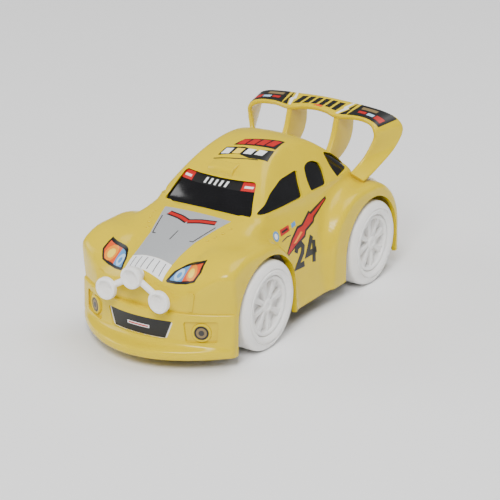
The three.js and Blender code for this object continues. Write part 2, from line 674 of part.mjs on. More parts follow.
// The turn that puts a tooth gap of one gear on a tooth of the other, along `angle`.
const PINION_TURN = 0;
function meshingTurn(driverTeeth, driverTurn, drivenTeeth, angle) {
  const phase = (angle - driverTurn) / (TAU / driverTeeth);
  return angle + Math.PI + (phase - 0.5) * (TAU / drivenTeeth);
}

const MIDDLE_TURN = meshingTurn(PINION_TEETH, PINION_TURN, WHEEL_TEETH, TRAIN_ANGLE);
const SPRING_TURN = meshingTurn(PINION_TEETH, MIDDLE_TURN, WHEEL_TEETH, SPRING_ANGLE);

function middleGear() {
  const shaft = MOTOR.x + SHAFT_OVERHANG;
  return union([
    gearAt(WHEEL_TEETH, DRIVE_PLANE_X, 0, MIDDLE_TURN),
    gearAt(PINION_TEETH, SPRING_PLANE_X, 0, MIDDLE_TURN),
    rodX(COLLAR_RADIUS, SPRING_PLANE_X, DRIVE_PLANE_X, 0, 0, 16),
    rodX(SHAFT_RADIUS, -shaft, shaft, 0, 0, 16),
  ]);
}

function springGear() {
  const shaft = MOTOR.x + SHAFT_OVERHANG;
  return union([
    gearAt(WHEEL_TEETH, SPRING_PLANE_X, 0, SPRING_TURN),
    rodX(ARBOR_RADIUS, ARBOR_END_X, SPRING_PLANE_X, 0, 0, 16),
    rodX(SHAFT_RADIUS, -shaft, shaft, 0, 0, 16),
  ]);
}

// A flat strip wound as a spiral round the spring gear's arbor.
const STRIP = { turns: 3.5, thickness: 0.5, start: 2.6, growth: 6, x0: -7.4, x1: -2.4, steps: 42 };

function mainspring() {
  const inner = [];
  const outer = [];
  for (let step = 0; step <= STRIP.steps; step += 1) {
    const t = step / STRIP.steps;
    const angle = t * STRIP.turns * TAU;
    const near = STRIP.start + STRIP.growth * t;
    const far = near + STRIP.thickness;
    inner.push([near * Math.cos(angle), near * Math.sin(angle)]);
    outer.push([far * Math.cos(angle), far * Math.sin(angle)]);
  }
  return plateX(outline([...inner, ...outer.reverse()]), STRIP.x0, STRIP.x1);
}

// ---------------------------------------------------------------- chassis
const CHASSIS_PLAN = [
  [-13, -68.5], [13, -68.5], [23, -65.5], [23.2, -58], [23.2, -8.6], [31.5, -8.6], [31.5, 27],
  [23.2, 27], [23.2, 74], [-23.2, 74], [-23.2, 27], [-31.5, 27], [-31.5, -8.6], [-23.2, -8.6],
  [-23.2, -58], [-23, -65.5],
];
const BEARING = { x: 19.5, halfThickness: 1.5, halfLength: 5, overAxle: 3.5 };
const MOTOR_WINDOW_PLAY = 0.5;

function chassisPlate() {
  const top = CHASSIS_Z + CHASSIS_THICKNESS;
  const bearingTop = WHEEL_RADIUS + BEARING.overAxle;
  const bearings = [];
  for (const side of [-1, 1]) {
    const x0 = side * BEARING.x - BEARING.halfThickness;
    const y0 = FRONT_AXLE_Y - BEARING.halfLength;
    bearings.push(box(x0, x0 + 2 * BEARING.halfThickness, y0, y0 + 2 * BEARING.halfLength,
      top - CHASSIS_THICKNESS / 2, bearingTop));
  }
  const { x, y0, y1 } = MOTOR;
  const play = MOTOR_WINDOW_PLAY;
  const window = box(-x - play, x + play, y0 - play, y1 + play, 0, bearingTop);
  const bossTop = CHASSIS_Z + SCREW_BOSS_HEIGHT;
  const bosses = BODY_SCREWS.map(([sx, sy]) => rodZ(SCREW_BOSS_RADIUS, sx, sy, CHASSIS_Z, bossTop, 16));
  const recesses = BODY_SCREWS.map(([sx, sy]) => (
    rodZ(SCREW_HEAD_RADIUS + GAP, sx, sy, 0, CHASSIS_Z + SCREW_SEAT_DEPTH, 16)));
  const screwHoles = [...BODY_SCREWS, ...MOTOR_SCREWS].map(([sx, sy]) => (
    rodZ(SCREW_BORE, sx, sy, 0, bossTop + 1, 12)));
  return union([plateZ(outline(CHASSIS_PLAN), CHASSIS_Z, top), ...bearings, ...bosses])
    .subtract(window)
    .subtract(rodX(AXLE_BORE, -HALF_WIDTH, HALF_WIDTH, FRONT_AXLE_Y, WHEEL_RADIUS, 16))
    .subtract(union([...screwHoles, ...recesses]));
}

// A pan-head screw along Z: the head stands off its seat by the gap.
function screw(x, y, seatZ, tipZ) {
  const direction = Math.sign(tipZ - seatZ);
  const headNear = seatZ - direction * GAP;
  const headFar = headNear - direction * SCREW_HEAD_HEIGHT;
  const shankNear = headNear - direction * SCREW_HEAD_HEIGHT / 4;
  const [h0, h1] = [Math.min(headNear, headFar), Math.max(headNear, headFar)];
  const [s0, s1] = [Math.min(shankNear, tipZ), Math.max(shankNear, tipZ)];
  return rodZ(SCREW_HEAD_RADIUS, x, y, h0, h1, 12).add(rodZ(SCREW_RADIUS, x, y, s0, s1, 10));
}

// ---------------------------------------------------------------- assembly
const outerSkin = levelSurface(0);
const innerSkin = levelSurface(-BODY_WALL, CAVITY_FLOOR_Z);
const glassOuter = levelSurface(-BODY_WALL - GLASS_GAP);
const glassInner = levelSurface(-BODY_WALL - GLASS_GAP - GLASS_WALL);
const paneSkin = levelSurface(-GLASS_DEPTH);

addPart('body_shell', bodyShell(outerSkin, innerSkin), BODY_YELLOW);
addPart('glazing_insert', glazing(paneSkin, glassOuter, glassInner), GLAZING_BLACK);
const bodyWithClearance = levelSurface(1.5 * GAP);
const wing = union([wingHoop(), wingStrut(-STRUT_X), wingStrut(STRUT_X)]).subtract(bodyWithClearance);
addPart('rear_wing', wing, BODY_YELLOW);
addPart('lamp_bar', lampBar(), MILKY_WHITE);
addPart('chassis_plate', chassisPlate(), CHASSIS_BLACK);

BODY_SCREWS.forEach(([x, y], index) => {
  addPart(`chassis_screw_${index + 1}`, screw(x, y, CHASSIS_Z + SCREW_SEAT_DEPTH, SCREW_TIP_Z), STEEL);
});
MOTOR_SCREWS.forEach(([x, y], index) => {
  addPart(`motor_screw_${index + 1}`, screw(x, y, EAR_Z + EAR_THICKNESS, CHASSIS_Z + GAP), STEEL);
});

const AXLES = { front: FRONT_AXLE_Y, rear: REAR_AXLE_Y };
const SIDES = { left: 1, right: -1 };
for (const [end, y] of Object.entries(AXLES)) {
  addPart(`${end}_axle`, axle(y), STEEL);
  for (const [sideName, side] of Object.entries(SIDES)) {
    const x = side * (HALF_WIDTH - TYRE_WIDTH / 2);
    const ring = side > 0 ? tyre() : tyre().mirror([1, 0, 0]);
    addPart(`${end}_${sideName}_tyre`, ring, MILKY_WHITE, x, y, WHEEL_RADIUS);
    addPart(`${end}_${sideName}_rim`, rim(side), MILKY_WHITE, x, y, WHEEL_RADIUS);
  }
}

addPart('motor_case_left', motorHalf(1), MOTOR_GREY);
addPart('motor_case_right', motorHalf(-1), MOTOR_GREY);
addPart('axle_pinion', gearAt(PINION_TEETH, DRIVE_PLANE_X, AXLE_RADIUS + GAP, PINION_TURN),
  GEAR_WHITE, 0, REAR_AXLE_Y, WHEEL_RADIUS);
addPart('middle_gear', middleGear(), GEAR_WHITE, 0, MIDDLE_GEAR.y, MIDDLE_GEAR.z);
addPart('spring_gear', springGear(), GEAR_WHITE, 0, SPRING_GEAR.y, SPRING_GEAR.z);
addPart('mainspring', mainspring(), STEEL, 0, SPRING_GEAR.y, SPRING_GEAR.z);

export default model;
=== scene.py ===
import math
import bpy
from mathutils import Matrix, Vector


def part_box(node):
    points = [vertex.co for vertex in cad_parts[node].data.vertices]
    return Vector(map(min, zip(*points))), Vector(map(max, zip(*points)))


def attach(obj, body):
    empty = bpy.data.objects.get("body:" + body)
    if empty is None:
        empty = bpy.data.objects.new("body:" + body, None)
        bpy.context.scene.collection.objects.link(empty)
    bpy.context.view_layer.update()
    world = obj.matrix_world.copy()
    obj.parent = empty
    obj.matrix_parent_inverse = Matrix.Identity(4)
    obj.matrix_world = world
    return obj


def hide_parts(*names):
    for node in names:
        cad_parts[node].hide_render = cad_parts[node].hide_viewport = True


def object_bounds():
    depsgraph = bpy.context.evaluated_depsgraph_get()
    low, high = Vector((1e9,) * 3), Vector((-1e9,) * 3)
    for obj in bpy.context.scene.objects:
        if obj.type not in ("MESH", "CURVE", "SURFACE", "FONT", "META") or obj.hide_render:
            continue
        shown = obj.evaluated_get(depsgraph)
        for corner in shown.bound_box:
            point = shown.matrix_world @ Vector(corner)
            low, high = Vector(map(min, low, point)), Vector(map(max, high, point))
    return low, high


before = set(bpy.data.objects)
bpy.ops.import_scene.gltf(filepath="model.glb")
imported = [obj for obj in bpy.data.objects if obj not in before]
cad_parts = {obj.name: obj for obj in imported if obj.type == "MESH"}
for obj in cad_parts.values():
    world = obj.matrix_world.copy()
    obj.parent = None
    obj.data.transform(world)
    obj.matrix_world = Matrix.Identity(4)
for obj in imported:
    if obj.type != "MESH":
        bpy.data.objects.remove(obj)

from types import SimpleNamespace as Form

import bpy
import numpy as np
from mathutils import Matrix, Vector

bl_info = {
    "name": "Pull-back Toy Car",
    "version": (1, 0, 0),
    "blender": (4, 5, 0),
    "location": "View3D > Sidebar > Toy Car",
    "description": "Moulded yellow pull-back car with white wheels, a rear wing, lamps and vinyl labels",
    "category": "Add Mesh",
}

MM = 0.001
CAD_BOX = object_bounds()


# ------------------------------------------------------------------ settings

class ToyCarSizes(bpy.types.PropertyGroup):
    """Sizes that shape the new pieces. Lengths are in metres."""
    wall: bpy.props.FloatProperty(
        name="Body wall", description="Thickness of the moulded body shell",
        default=0.0018, min=0.0008, max=0.003, precision=5, unit="LENGTH", subtype="DISTANCE")
    pane_depth: bpy.props.FloatProperty(
        name="Pane depth", description="How far the windows sit below the body's surface",
        default=0.0008, min=0.0002, max=0.0016, precision=5, unit="LENGTH", subtype="DISTANCE")
    label_lift: bpy.props.FloatProperty(
        name="Label lift", description="Height of the lowest vinyl label over the plastic",
        default=0.00007, min=0.00002, max=0.0003, precision=6, unit="LENGTH", subtype="DISTANCE")
    skin_rows: bpy.props.IntProperty(
        name="Skin rows", description="Grid rows of the body skin from nose to tail",
        default=300, min=60, max=330)
    skin_columns: bpy.props.IntProperty(
        name="Skin columns", description="Grid columns of the body skin round the car",
        default=272, min=60, max=300)
    spokes: bpy.props.IntProperty(
        name="Spokes", description="Number of spokes in each wheel", default=8, min=5, max=12)


class ToyCarColours(bpy.types.PropertyGroup):
    """Base colours of the plastics and the labels, as linear values."""
    body: bpy.props.FloatVectorProperty(
        name="Body", description="Yellow body plastic",
        subtype="COLOR", size=3, min=0.0, max=1.0, default=(0.68, 0.5, 0.0))
    milky: bpy.props.FloatVectorProperty(
        name="Milky plastic", description="White wheels and lamps",
        subtype="COLOR", size=3, min=0.0, max=1.0, default=(0.86, 0.845, 0.82))
    glazing: bpy.props.FloatVectorProperty(
        name="Glazing", description="Black window liner",
        subtype="COLOR", size=3, min=0.0, max=1.0, default=(0.004, 0.004, 0.005))
    silver: bpy.props.FloatVectorProperty(
        name="Bonnet label", description="Silver-grey bonnet label",
        subtype="COLOR", size=3, min=0.0, max=1.0, default=(0.36, 0.37, 0.38))
    red: bpy.props.FloatVectorProperty(
        name="Red ink", description="Red printing on the labels",
        subtype="COLOR", size=3, min=0.0, max=1.0, default=(0.5, 0.006, 0.004))


def sizes():
    """The scene's size settings."""
    return bpy.context.scene.toy_car_sizes


def colours():
    """The scene's colour settings."""
    return bpy.context.scene.toy_car_colours


# ------------------------------------------------------------------ places from the frame, in mm

def middle_of(node):
    """The middle of a CAD node's box."""
    low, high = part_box(node)
    return np.round(np.array((low + high) / 2) / MM, 3)


FRONT_AXLE = middle_of("front_axle")
REAR_AXLE = middle_of("rear_axle")
HALF_LENGTH = round(CAD_BOX[1][1] / MM, 3)
HALF_WIDTH = round(CAD_BOX[1][0] / MM, 3)


# ------------------------------------------------------------------ the body's form, in mm

# Each face is a plane or a drum with its own place, slope, bow or crown, and a steepness that
# turns a height difference into a distance.
BONNET = Form(y=-30, z=52.2, slope=0.3, crown=0.0035, steepness=1.044)
RIDGE = Form(x=19.4, y=-33.3, along_x=0.888, along_y=0.46, fall=0.36, steepness=1.12)
BELT_TOP_Z = 52.6
DECK = Form(y=50, z=50.4, slope=0.3, crown=0.001, steepness=1.044)
FLANK = Form(x=34.6, z=22, lean=0.16, tuck_z=30, tuck=0.0065, steepness=1.03)
NOSE = Form(y=70.6, z=24, bow=190, rake=0.12)
TAIL = Form(y=78.2, z=28, bow=1200, rake=0.3, steepness=1.05)
ROOF = Form(y=17, z=24, radius=50.2, bow=190)
WINDSCREEN_FACE = Form(y=-31, z=52, bow=95, along_y=0.648, along_z=0.762)
REAR_SCREEN_FACE = Form(y=67, z=48, bow=260, along_y=0.585, along_z=0.811)
BELT_Z = 52.5
CABIN_SIDE = Form(x=27.8, y=16, bow=1500, lean=0.6, steepness=1.18)
CABIN_BASE_Z = 42
WHEEL_WING_X = 39.2
FRONT_WHEEL_WING = Form(start=-46.5, end=-36, z=19.5, radius=27.4, edge=10.5, inner_x=16)
REAR_WHEEL_WING = Form(start=43.5, end=53.2, z=22, radius=25.4, edge=8.5, inner_x=12)
WING_NOSE = Form(y=67.5, z=24, bow=400, rake=0.1)
BEHIND_BUMPER = Form(y=72.0, z=24, bow=105, rake=0.12, steepness=1.15)
BODY_HALF_WIDTH = 38.5
SKIRT_Z = 8.2
CAVITY_FLOOR_Z = -4
BLEND = Form(
    ridge=1.6, belt=5, deck=10, flank=6, nose=13, tail=6, screen=6, cabin_side=3.6, cabin=2.5,
    wing_inner=14, wing_nose=10, front_wing=5, rear_wing=6, bumper=2, width=1, skirt=0.6)


def smooth_min(a, b, radius):
    """The lower of two fields, with a cubic blend `radius` wide where they are nearly equal."""
    h = np.maximum(radius - np.abs(a - b), 0) / radius
    return np.minimum(a, b) - h ** 3 * radius / 6


def smooth_max(a, b, radius):
    """The higher of two fields, blended in the same way."""
    return -smooth_min(-a, -b, radius)


def nose_face(face, x, y, z):
    """A bowed end face that leans back as it rises."""
    return -(y + face.y - x * x / face.bow) - face.rake * (z - face.z)


def lower_body(x, y, z):
    """Bonnet plane rising to the cabin, its flanks falling away beyond a ridge, belt line and rear
    deck, closed by sides that curve in upwards, a nose bowed in plan, and a tail that leans in."""
    over_bonnet = z - BONNET.z - BONNET.slope * (y - BONNET.y)
    past_ridge = (x - RIDGE.x) * RIDGE.along_x - (y - RIDGE.y) * RIDGE.along_y
    middle = (over_bonnet + BONNET.crown * x * x) / BONNET.steepness
    shoulder = (over_bonnet + RIDGE.fall * past_ridge) / RIDGE.steepness
    bonnet = smooth_max(middle, shoulder, BLEND.ridge)
    deck = (z - DECK.z + DECK.slope * (y - DECK.y) + DECK.crown * x * x) / DECK.steepness
    top = smooth_max(smooth_max(bonnet, z - BELT_TOP_Z, BLEND.belt), deck, BLEND.deck)
    tuck = FLANK.tuck * np.maximum(z - FLANK.tuck_z, 0) ** 2
    side = (x - FLANK.x + FLANK.lean * (z - FLANK.z) + tuck) / FLANK.steepness
    tail = (y - TAIL.y + x * x / TAIL.bow + TAIL.rake * np.maximum(z - TAIL.z, 0)) / TAIL.steepness
    closed = smooth_max(smooth_max(top, side, BLEND.flank), nose_face(NOSE, x, y, z), BLEND.nose)
    return smooth_max(closed, tail, BLEND.tail)


def cabin(x, y, z):
    """A round roof barrel cut by a bowed windscreen plane, a rear screen plane and leaning sides."""
    front, rear = WINDSCREEN_FACE, REAR_SCREEN_FACE
    roof = np.hypot(y - ROOF.y, z - ROOF.z) - ROOF.radius + x * x / ROOF.bow
    windscreen = -(y - front.y - x * x / front.bow) * front.along_y + (z - front.z) * front.along_z
    rear_screen = (y - rear.y + x * x / rear.bow) * rear.along_y + (z - rear.z) * rear.along_z
    bow = (y - CABIN_SIDE.y) ** 2 / CABIN_SIDE.bow
    lean = CABIN_SIDE.lean * np.maximum(z - BELT_Z, 0)
    side = (x - CABIN_SIDE.x + bow + lean) / CABIN_SIDE.steepness
    screens = smooth_max(smooth_max(roof, windscreen, BLEND.screen), rear_screen, BLEND.screen)
    return np.maximum(smooth_max(screens, side, BLEND.cabin_side), CABIN_BASE_Z - z)


def wheel_wing(x, y, z, wing):
    """A stadium-shaped arch over a wheel, carried across the car and rounded at its outer edge."""
    dy = np.maximum(np.maximum(wing.start - y, y - wing.end), 0)
    arch = np.hypot(dy, np.maximum(z - wing.z, 0)) - wing.radius
    outer = smooth_max(arch, x - WHEEL_WING_X, wing.edge)
    return smooth_max(outer, wing.inner_x - x, BLEND.wing_inner)


def body_field(p, floor_z=SKIRT_Z):
    """Signed field of the moulded body in mm, negative inside: the lower body, the cabin and the
    four wheel wings joined with soft valleys, then trimmed to the car's width and floor."""
    x, y, z = np.abs(p[..., 0]), p[..., 1], p[..., 2]
    field = smooth_min(lower_body(x, y, z), cabin(x, y, z), BLEND.cabin)
    front = wheel_wing(x, y, z, FRONT_WHEEL_WING)
    front = smooth_max(front, nose_face(WING_NOSE, x, y, z), BLEND.wing_nose)
    field = smooth_min(field, front, BLEND.front_wing)
    field = smooth_min(field, wheel_wing(x, y, z, REAR_WHEEL_WING), BLEND.rear_wing)
    behind_bumper = nose_face(BEHIND_BUMPER, x, y, z) / BEHIND_BUMPER.steepness
    field = smooth_max(field, behind_bumper, BLEND.bumper)
    field = smooth_max(field, x - BODY_HALF_WIDTH, BLEND.width)
    return smooth_max(field, floor_z - z, BLEND.skirt)


SPINE = Form(y=3, z=24, half=50, end_tilt=1.545)
MARCH = 1.5
MARCH_STEPS = 64
HALVINGS = 16
TRACE_STEPS = 90
TRACE_SHARE = 0.7


def spine_grid(rows, columns, level, floor_z=SKIRT_Z):
    """Points where rays from a spine inside the car meet one level of the field. Row u tilts the
    rays from nose to tail, column v turns them round the car, and halving finds the crossing."""
    tilt = np.linspace(-SPINE.end_tilt, SPINE.end_tilt, rows)[:, None]
    turn = ((np.arange(columns) + 0.5) / columns * 2 * np.pi)[None, :]
    direction = np.stack(np.broadcast_arrays(
        -np.cos(turn) * np.cos(tilt), np.sin(tilt), np.sin(turn) * np.cos(tilt)), -1)
    origin = np.zeros_like(direction)
    origin[..., 1] = SPINE.y + SPINE.half * np.sin(tilt)
    origin[..., 2] = SPINE.z
    near = np.zeros(direction.shape[:2])
    going = np.ones(near.shape, bool)
    for _ in range(MARCH_STEPS):
        ahead = origin + direction * (near + MARCH)[..., None]
        going &= body_field(ahead, floor_z) < level
        near = np.where(going, near + MARCH, near)
        if not going.any():
            break
    far = near + MARCH
    for _ in range(HALVINGS):
        middle = (near + far) / 2
        inside = body_field(origin + direction * middle[..., None], floor_z) < level
        near, far = np.where(inside, middle, near), np.where(inside, far, middle)
    return origin + direction * near[..., None]


def onto_body(start, direction, lift):
    """Points where rays from outside come to `lift` mm over the body, by sphere tracing: each
    step is the remaining field, shortened because the field's slope can pass one."""
    p = np.array(start, float)
    step = np.array(direction, float)
    for _ in range(TRACE_STEPS):
        p = p + step * (TRACE_SHARE * (body_field(p) - lift))[..., None]
    return p


# ------------------------------------------------------------------ mesh making

def mesh_object(name, vertices, loops, starts):
    """A mesh object from whole arrays: vertices in mm, corner indices, each face's first corner."""
    mesh = bpy.data.meshes.new(name)
    mesh.vertices.add(len(vertices))
    mesh.vertices.foreach_set("co", (np.asarray(vertices, np.float32) * MM).ravel())
    mesh.loops.add(len(loops))
    mesh.loops.foreach_set("vertex_index", np.asarray(loops, np.int32))
    mesh.polygons.add(len(starts))
    mesh.polygons.foreach_set("loop_start", np.asarray(starts, np.int32))
    mesh.update(calc_edges=True)
    mesh.validate()
    obj = bpy.data.objects.new(name, mesh)
    bpy.context.scene.collection.objects.link(obj)
    return obj


def grid_object(name, points, wrap_rows=False):
    """A closed skin over rings of points: quads join ring to ring, each ring closes on itself, and
    the first and last rings close on a centre point unless the rows wrap round as well."""
    rows, columns = points.shape[:2]
    index = np.arange(rows * columns).reshape(rows, columns)
    a = index if wrap_rows else index[:-1]
    b = np.roll(index, -1, 0) if wrap_rows else index[1:]
    quads = np.stack([a, np.roll(a, -1, 1), np.roll(b, -1, 1), b], -1).reshape(-1, 4)
    vertices = points.reshape(-1, 3)
    loops = quads.ravel()
    starts = np.arange(len(quads)) * 4
    if not wrap_rows:
        first, last = len(vertices), len(vertices) + 1
        vertices = np.vstack([vertices, points[0].mean(0), points[-1].mean(0)])
        head = np.stack([np.full(columns, first), np.roll(index[0], -1), index[0]], -1)
        tail = np.stack([np.full(columns, last), index[-1], np.roll(index[-1], -1)], -1)
        fans = np.concatenate([head, tail])
        starts = np.concatenate([starts, len(loops) + np.arange(len(fans)) * 3])
        loops = np.concatenate([loops, fans.ravel()])
    return outward(mesh_object(name, vertices, loops, starts))


def outward(obj):
    """Turns a closed mesh's faces outwards: its signed volume is the sum of the volumes under its
    faces, and a negative sum means that it is inside out."""
    mesh = obj.data
    mesh.calc_loop_triangles()
    corners = np.empty(len(mesh.loop_triangles) * 3, np.int32)
    mesh.loop_triangles.foreach_get("vertices", corners)
    co = np.empty(len(mesh.vertices) * 3, np.float32)
    mesh.vertices.foreach_get("co", co)
    tri = co.reshape(-1, 3)[corners.reshape(-1, 3)].astype(float)
    if np.einsum("ij,ij->", tri[:, 0], np.cross(tri[:, 1], tri[:, 2])) < 0:
        mesh.flip_normals()
    return obj


def thin_sheet(top, bottom):
    """A closed thin sheet: each ring runs along a row of the top grid and back along the bottom."""
    return grid_object("sheet", np.concatenate([top, bottom[:, ::-1]], 1))


def combine(base, tools, operation):
    """Joins tools to, or cuts them from, a closed mesh, and drops the tools."""
    for tool in tools:
        step = base.modifiers.new(operation.title(), "BOOLEAN")
        step.solver = "MANIFOLD"
        step.operation = operation
        step.object = tool
        graph = bpy.context.evaluated_depsgraph_get()
        made = bpy.data.meshes.new_from_object(base.evaluated_get(graph))
        base.modifiers.remove(step)
        spent = base.data
        base.data = made
        bpy.data.meshes.remove(spent)
        bpy.data.objects.remove(tool)
    return base


def joined(name, parts):
    """One object that holds the meshes of several."""
    vertices, loops, starts = [], [], []
    vertex_count = loop_count = 0
    for part in parts:
        mesh = part.data
        co = np.empty(len(mesh.vertices) * 3, np.float32)
        mesh.vertices.foreach_get("co", co)
        corner = np.empty(len(mesh.loops), np.int32)
        mesh.loops.foreach_get("vertex_index", corner)
        start = np.empty(len(mesh.polygons), np.int32)
        mesh.polygons.foreach_get("loop_start", start)
        vertices.append(co.reshape(-1, 3) / MM)
        loops.append(corner + vertex_count)
        starts.append(start + loop_count)
        vertex_count += len(mesh.vertices)
        loop_count += len(mesh.loops)
        bpy.data.objects.remove(part)
    return mesh_object(name, np.vstack(vertices), np.concatenate(loops), np.concatenate(starts))


def finish_piece(obj, material, body="body", replaces=(), angle=32.0):
    """Shades the piece smooth up to an angle, paints it and hangs it on its body."""
    obj.data.shade_smooth()
    obj.data.set_sharp_from_angle(angle=math.radians(angle))
    obj.data.materials.clear()
    obj.data.materials.append(material)
    if replaces:
        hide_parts(*replaces)
    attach(obj, body)
    return obj


def arc(centre, radius, start, end, count):
    """Points on a circle from one angle to another, in degrees."""
    t = np.radians(np.linspace(start, end, count))
    return np.stack([centre[0] + radius * np.cos(t), centre[1] + radius * np.sin(t)], -1)


def rounded_outline(corners, radius, count=7):
    """A polygon with each corner turned into a quadratic curve that starts `radius` before it."""
    corners = np.asarray(corners, float)
    before = np.roll(corners, 1, 0) - corners
    after = np.roll(corners, -1, 0) - corners
    before_length = np.linalg.norm(before, axis=1)
    after_length = np.linalg.norm(after, axis=1)
    reach = np.minimum(radius, 0.45 * np.minimum(before_length, after_length))
    p0 = corners + before * (reach / before_length)[:, None]
    p2 = corners + after * (reach / after_length)[:, None]
    t = np.linspace(0, 1, count)[None, :, None]
    curve = (1 - t) ** 2 * p0[:, None] + 2 * t * (1 - t) * corners[:, None] + t ** 2 * p2[:, None]
    return curve.reshape(-1, 2)


def prism(name, outline, low, high, place):
    """A closed bar: the same outline at two depths, placed in space by `place(u, v, depth)`."""
    u, v = outline[:, 0], outline[:, 1]
    rings = [np.stack(np.broadcast_arrays(*place(u, v, np.full_like(u, depth))), -1)
             for depth in np.linspace(low, high, 2)]
    return grid_object(name, np.stack(rings))


def across(u, v, depth):
    """Outline in (y, z), depth along X."""
    return depth, u, v


def lengthwise(u, v, depth):
    """Outline in (x, z), depth along Y."""
    return u, depth, v


def upright(u, v, depth):
    """Outline in (x, y), depth along Z."""
    return u, v, depth


def turned(name, profile, centre, axis="X", segments=96, closed=False):
    """A profile of (radius, distance) rows turned about an axis through `centre`."""
    profile = np.asarray(profile, float)
    t = np.arange(segments) / segments * 2 * np.pi
    c = profile[:, :1] * np.cos(t)
    s = profile[:, :1] * np.sin(t)
    d = np.broadcast_to(profile[:, 1:2], c.shape)
    points = np.stack([d, c, s] if axis == "X" else [c, d, s] if axis == "Y" else [c, s, d], -1)
    return grid_object(name, points + np.asarray(centre, float), wrap_rows=closed)


def rod(name, start, end, radius, segments):
    """A round bar between two points, with its rims eased by a short chamfer."""
    start, end = np.asarray(start, float), np.asarray(end, float)
    along = end - start
    length = np.linalg.norm(along)
    along = along / length
    side = np.cross(along, [0.3, 0.2, 0.93])
    side /= np.linalg.norm(side)
    up = np.cross(along, side)
    ease = min(0.25, length / 4)
    at = np.array([0, ease, length - ease, length])
    r = np.array([radius - ease, radius, radius, radius - ease])
    t = np.arange(segments) / segments * 2 * np.pi
    ring = np.cos(t)[None, :, None] * side + np.sin(t)[None, :, None] * up
    return grid_object(name, start + along * at[:, None, None] + ring * r[:, None, None])


def catmull(points, count):
    """A smooth curve through control points: uniform Catmull-Rom cubics, evaluated at evenly
    spaced parameters as one array."""
    p = np.asarray(points, float)
    p = np.vstack([2 * p[0] - p[1], p, 2 * p[-1] - p[-2]])
    s = np.linspace(0, len(points) - 1 - 1e-9, count)
    i = s.astype(int)
    t = (s - i)[:, None]
    a, b, c, d = p[i], p[i + 1], p[i + 2], p[i + 3]
    square = 2 * a - 5 * b + 4 * c - d
    cube = 3 * b - a - 3 * c + d
    return 0.5 * (2 * b + (c - a) * t + square * t ** 2 + cube * t ** 3)


# ------------------------------------------------------------------ materials

def new_material(name):
    """A node material with its nodes, links and shader."""
    material = bpy.data.materials.new(name)
    material.use_nodes = True
    nodes = material.node_tree.nodes
    return material, nodes, material.node_tree.links, nodes["Principled BSDF"]


def object_noise(nodes, links, scale, detail=3.0, roughness=0.55):
    """A noise pattern in object space, in cycles per metre."""
    place = nodes.new("ShaderNodeTexCoord")
    noise = nodes.new("ShaderNodeTexNoise")
    noise.inputs["Scale"].default_value = scale
    noise.inputs["Detail"].default_value = detail
    noise.inputs["Roughness"].default_value = roughness
    links.new(place.outputs["Object"], noise.inputs["Vector"])
    return noise


def ramp(nodes, links, source, stops):
    """A colour ramp from `source` with (position, colour) stops."""
    node = nodes.new("ShaderNodeValToRGB")
    elements = node.color_ramp.elements
    for spot, (position, colour) in enumerate(stops):
        element = elements[spot] if spot < 2 else elements.new(position)
        element.position = position
        element.color = (*colour, 1)
    links.new(source, node.inputs["Fac"])
    return node


def uneven_gloss(material_parts, pattern, low, high):
    """Roughness that follows a pattern from `low` to `high`."""
    nodes, links, shader = material_parts
    gloss = nodes.new("ShaderNodeMapRange")
    gloss.inputs["To Min"].default_value = low
    gloss.inputs["To Max"].default_value = high
    links.new(pattern.outputs["Fac"], gloss.inputs["Value"])
    links.new(gloss.outputs["Result"], shader.inputs["Roughness"])


def moulded_plastic(name, colour, roughness=0.26, subsurface=0.0, scatter=(1, 1, 1), mottle=0.04,
                    bump=0.06, specular=0.5):
    """Injection-moulded plastic: a base colour with a faint cloudy mottle, roughness that varies in
    soft patches, and a very fine orange-peel bump."""
    material, nodes, links, shader = new_material(name)
    clouds = object_noise(nodes, links, 90, 4)
    darker = tuple(c * (1 - mottle) for c in colour)
    lighter = tuple(min(1, c * (1 + mottle)) for c in colour)
    tint = ramp(nodes, links, clouds.outputs["Fac"], [(0.35, darker), (0.65, lighter)])
    links.new(tint.outputs["Color"], shader.inputs["Base Color"])
    patches = object_noise(nodes, links, 260, 3)
    uneven_gloss((nodes, links, shader), patches, roughness - 0.05, roughness + 0.06)
    peel = object_noise(nodes, links, 1500, 2)
    relief = nodes.new("ShaderNodeBump")
    relief.inputs["Strength"].default_value = bump
    relief.inputs["Distance"].default_value = 0.00012
    links.new(peel.outputs["Fac"], relief.inputs["Height"])
    links.new(relief.outputs["Normal"], shader.inputs["Normal"])
    shader.inputs["Subsurface Weight"].default_value = subsurface
    shader.inputs["Subsurface Radius"].default_value = scatter
    shader.inputs["Subsurface Scale"].default_value = 0.004
    shader.inputs["IOR"].default_value = 1.5
    shader.inputs["Specular IOR Level"].default_value = specular
    return material


def vinyl(name, colour, roughness, fleck=0.05):
    """Printed vinyl: flat ink with a fine print grain and slightly uneven gloss."""
    material, nodes, links, shader = new_material(name)
    grain = object_noise(nodes, links, 2600, 2)
    low = tuple(c * (1 - fleck) for c in colour)
    high = tuple(min(1, c * (1 + fleck)) for c in colour)
    ink = ramp(nodes, links, grain.outputs["Fac"], [(0.3, low), (0.7, high)])
    links.new(ink.outputs["Color"], shader.inputs["Base Color"])
    sheen = object_noise(nodes, links, 180, 2)
    uneven_gloss((nodes, links, shader), sheen, roughness - 0.05, roughness + 0.08)
    return material


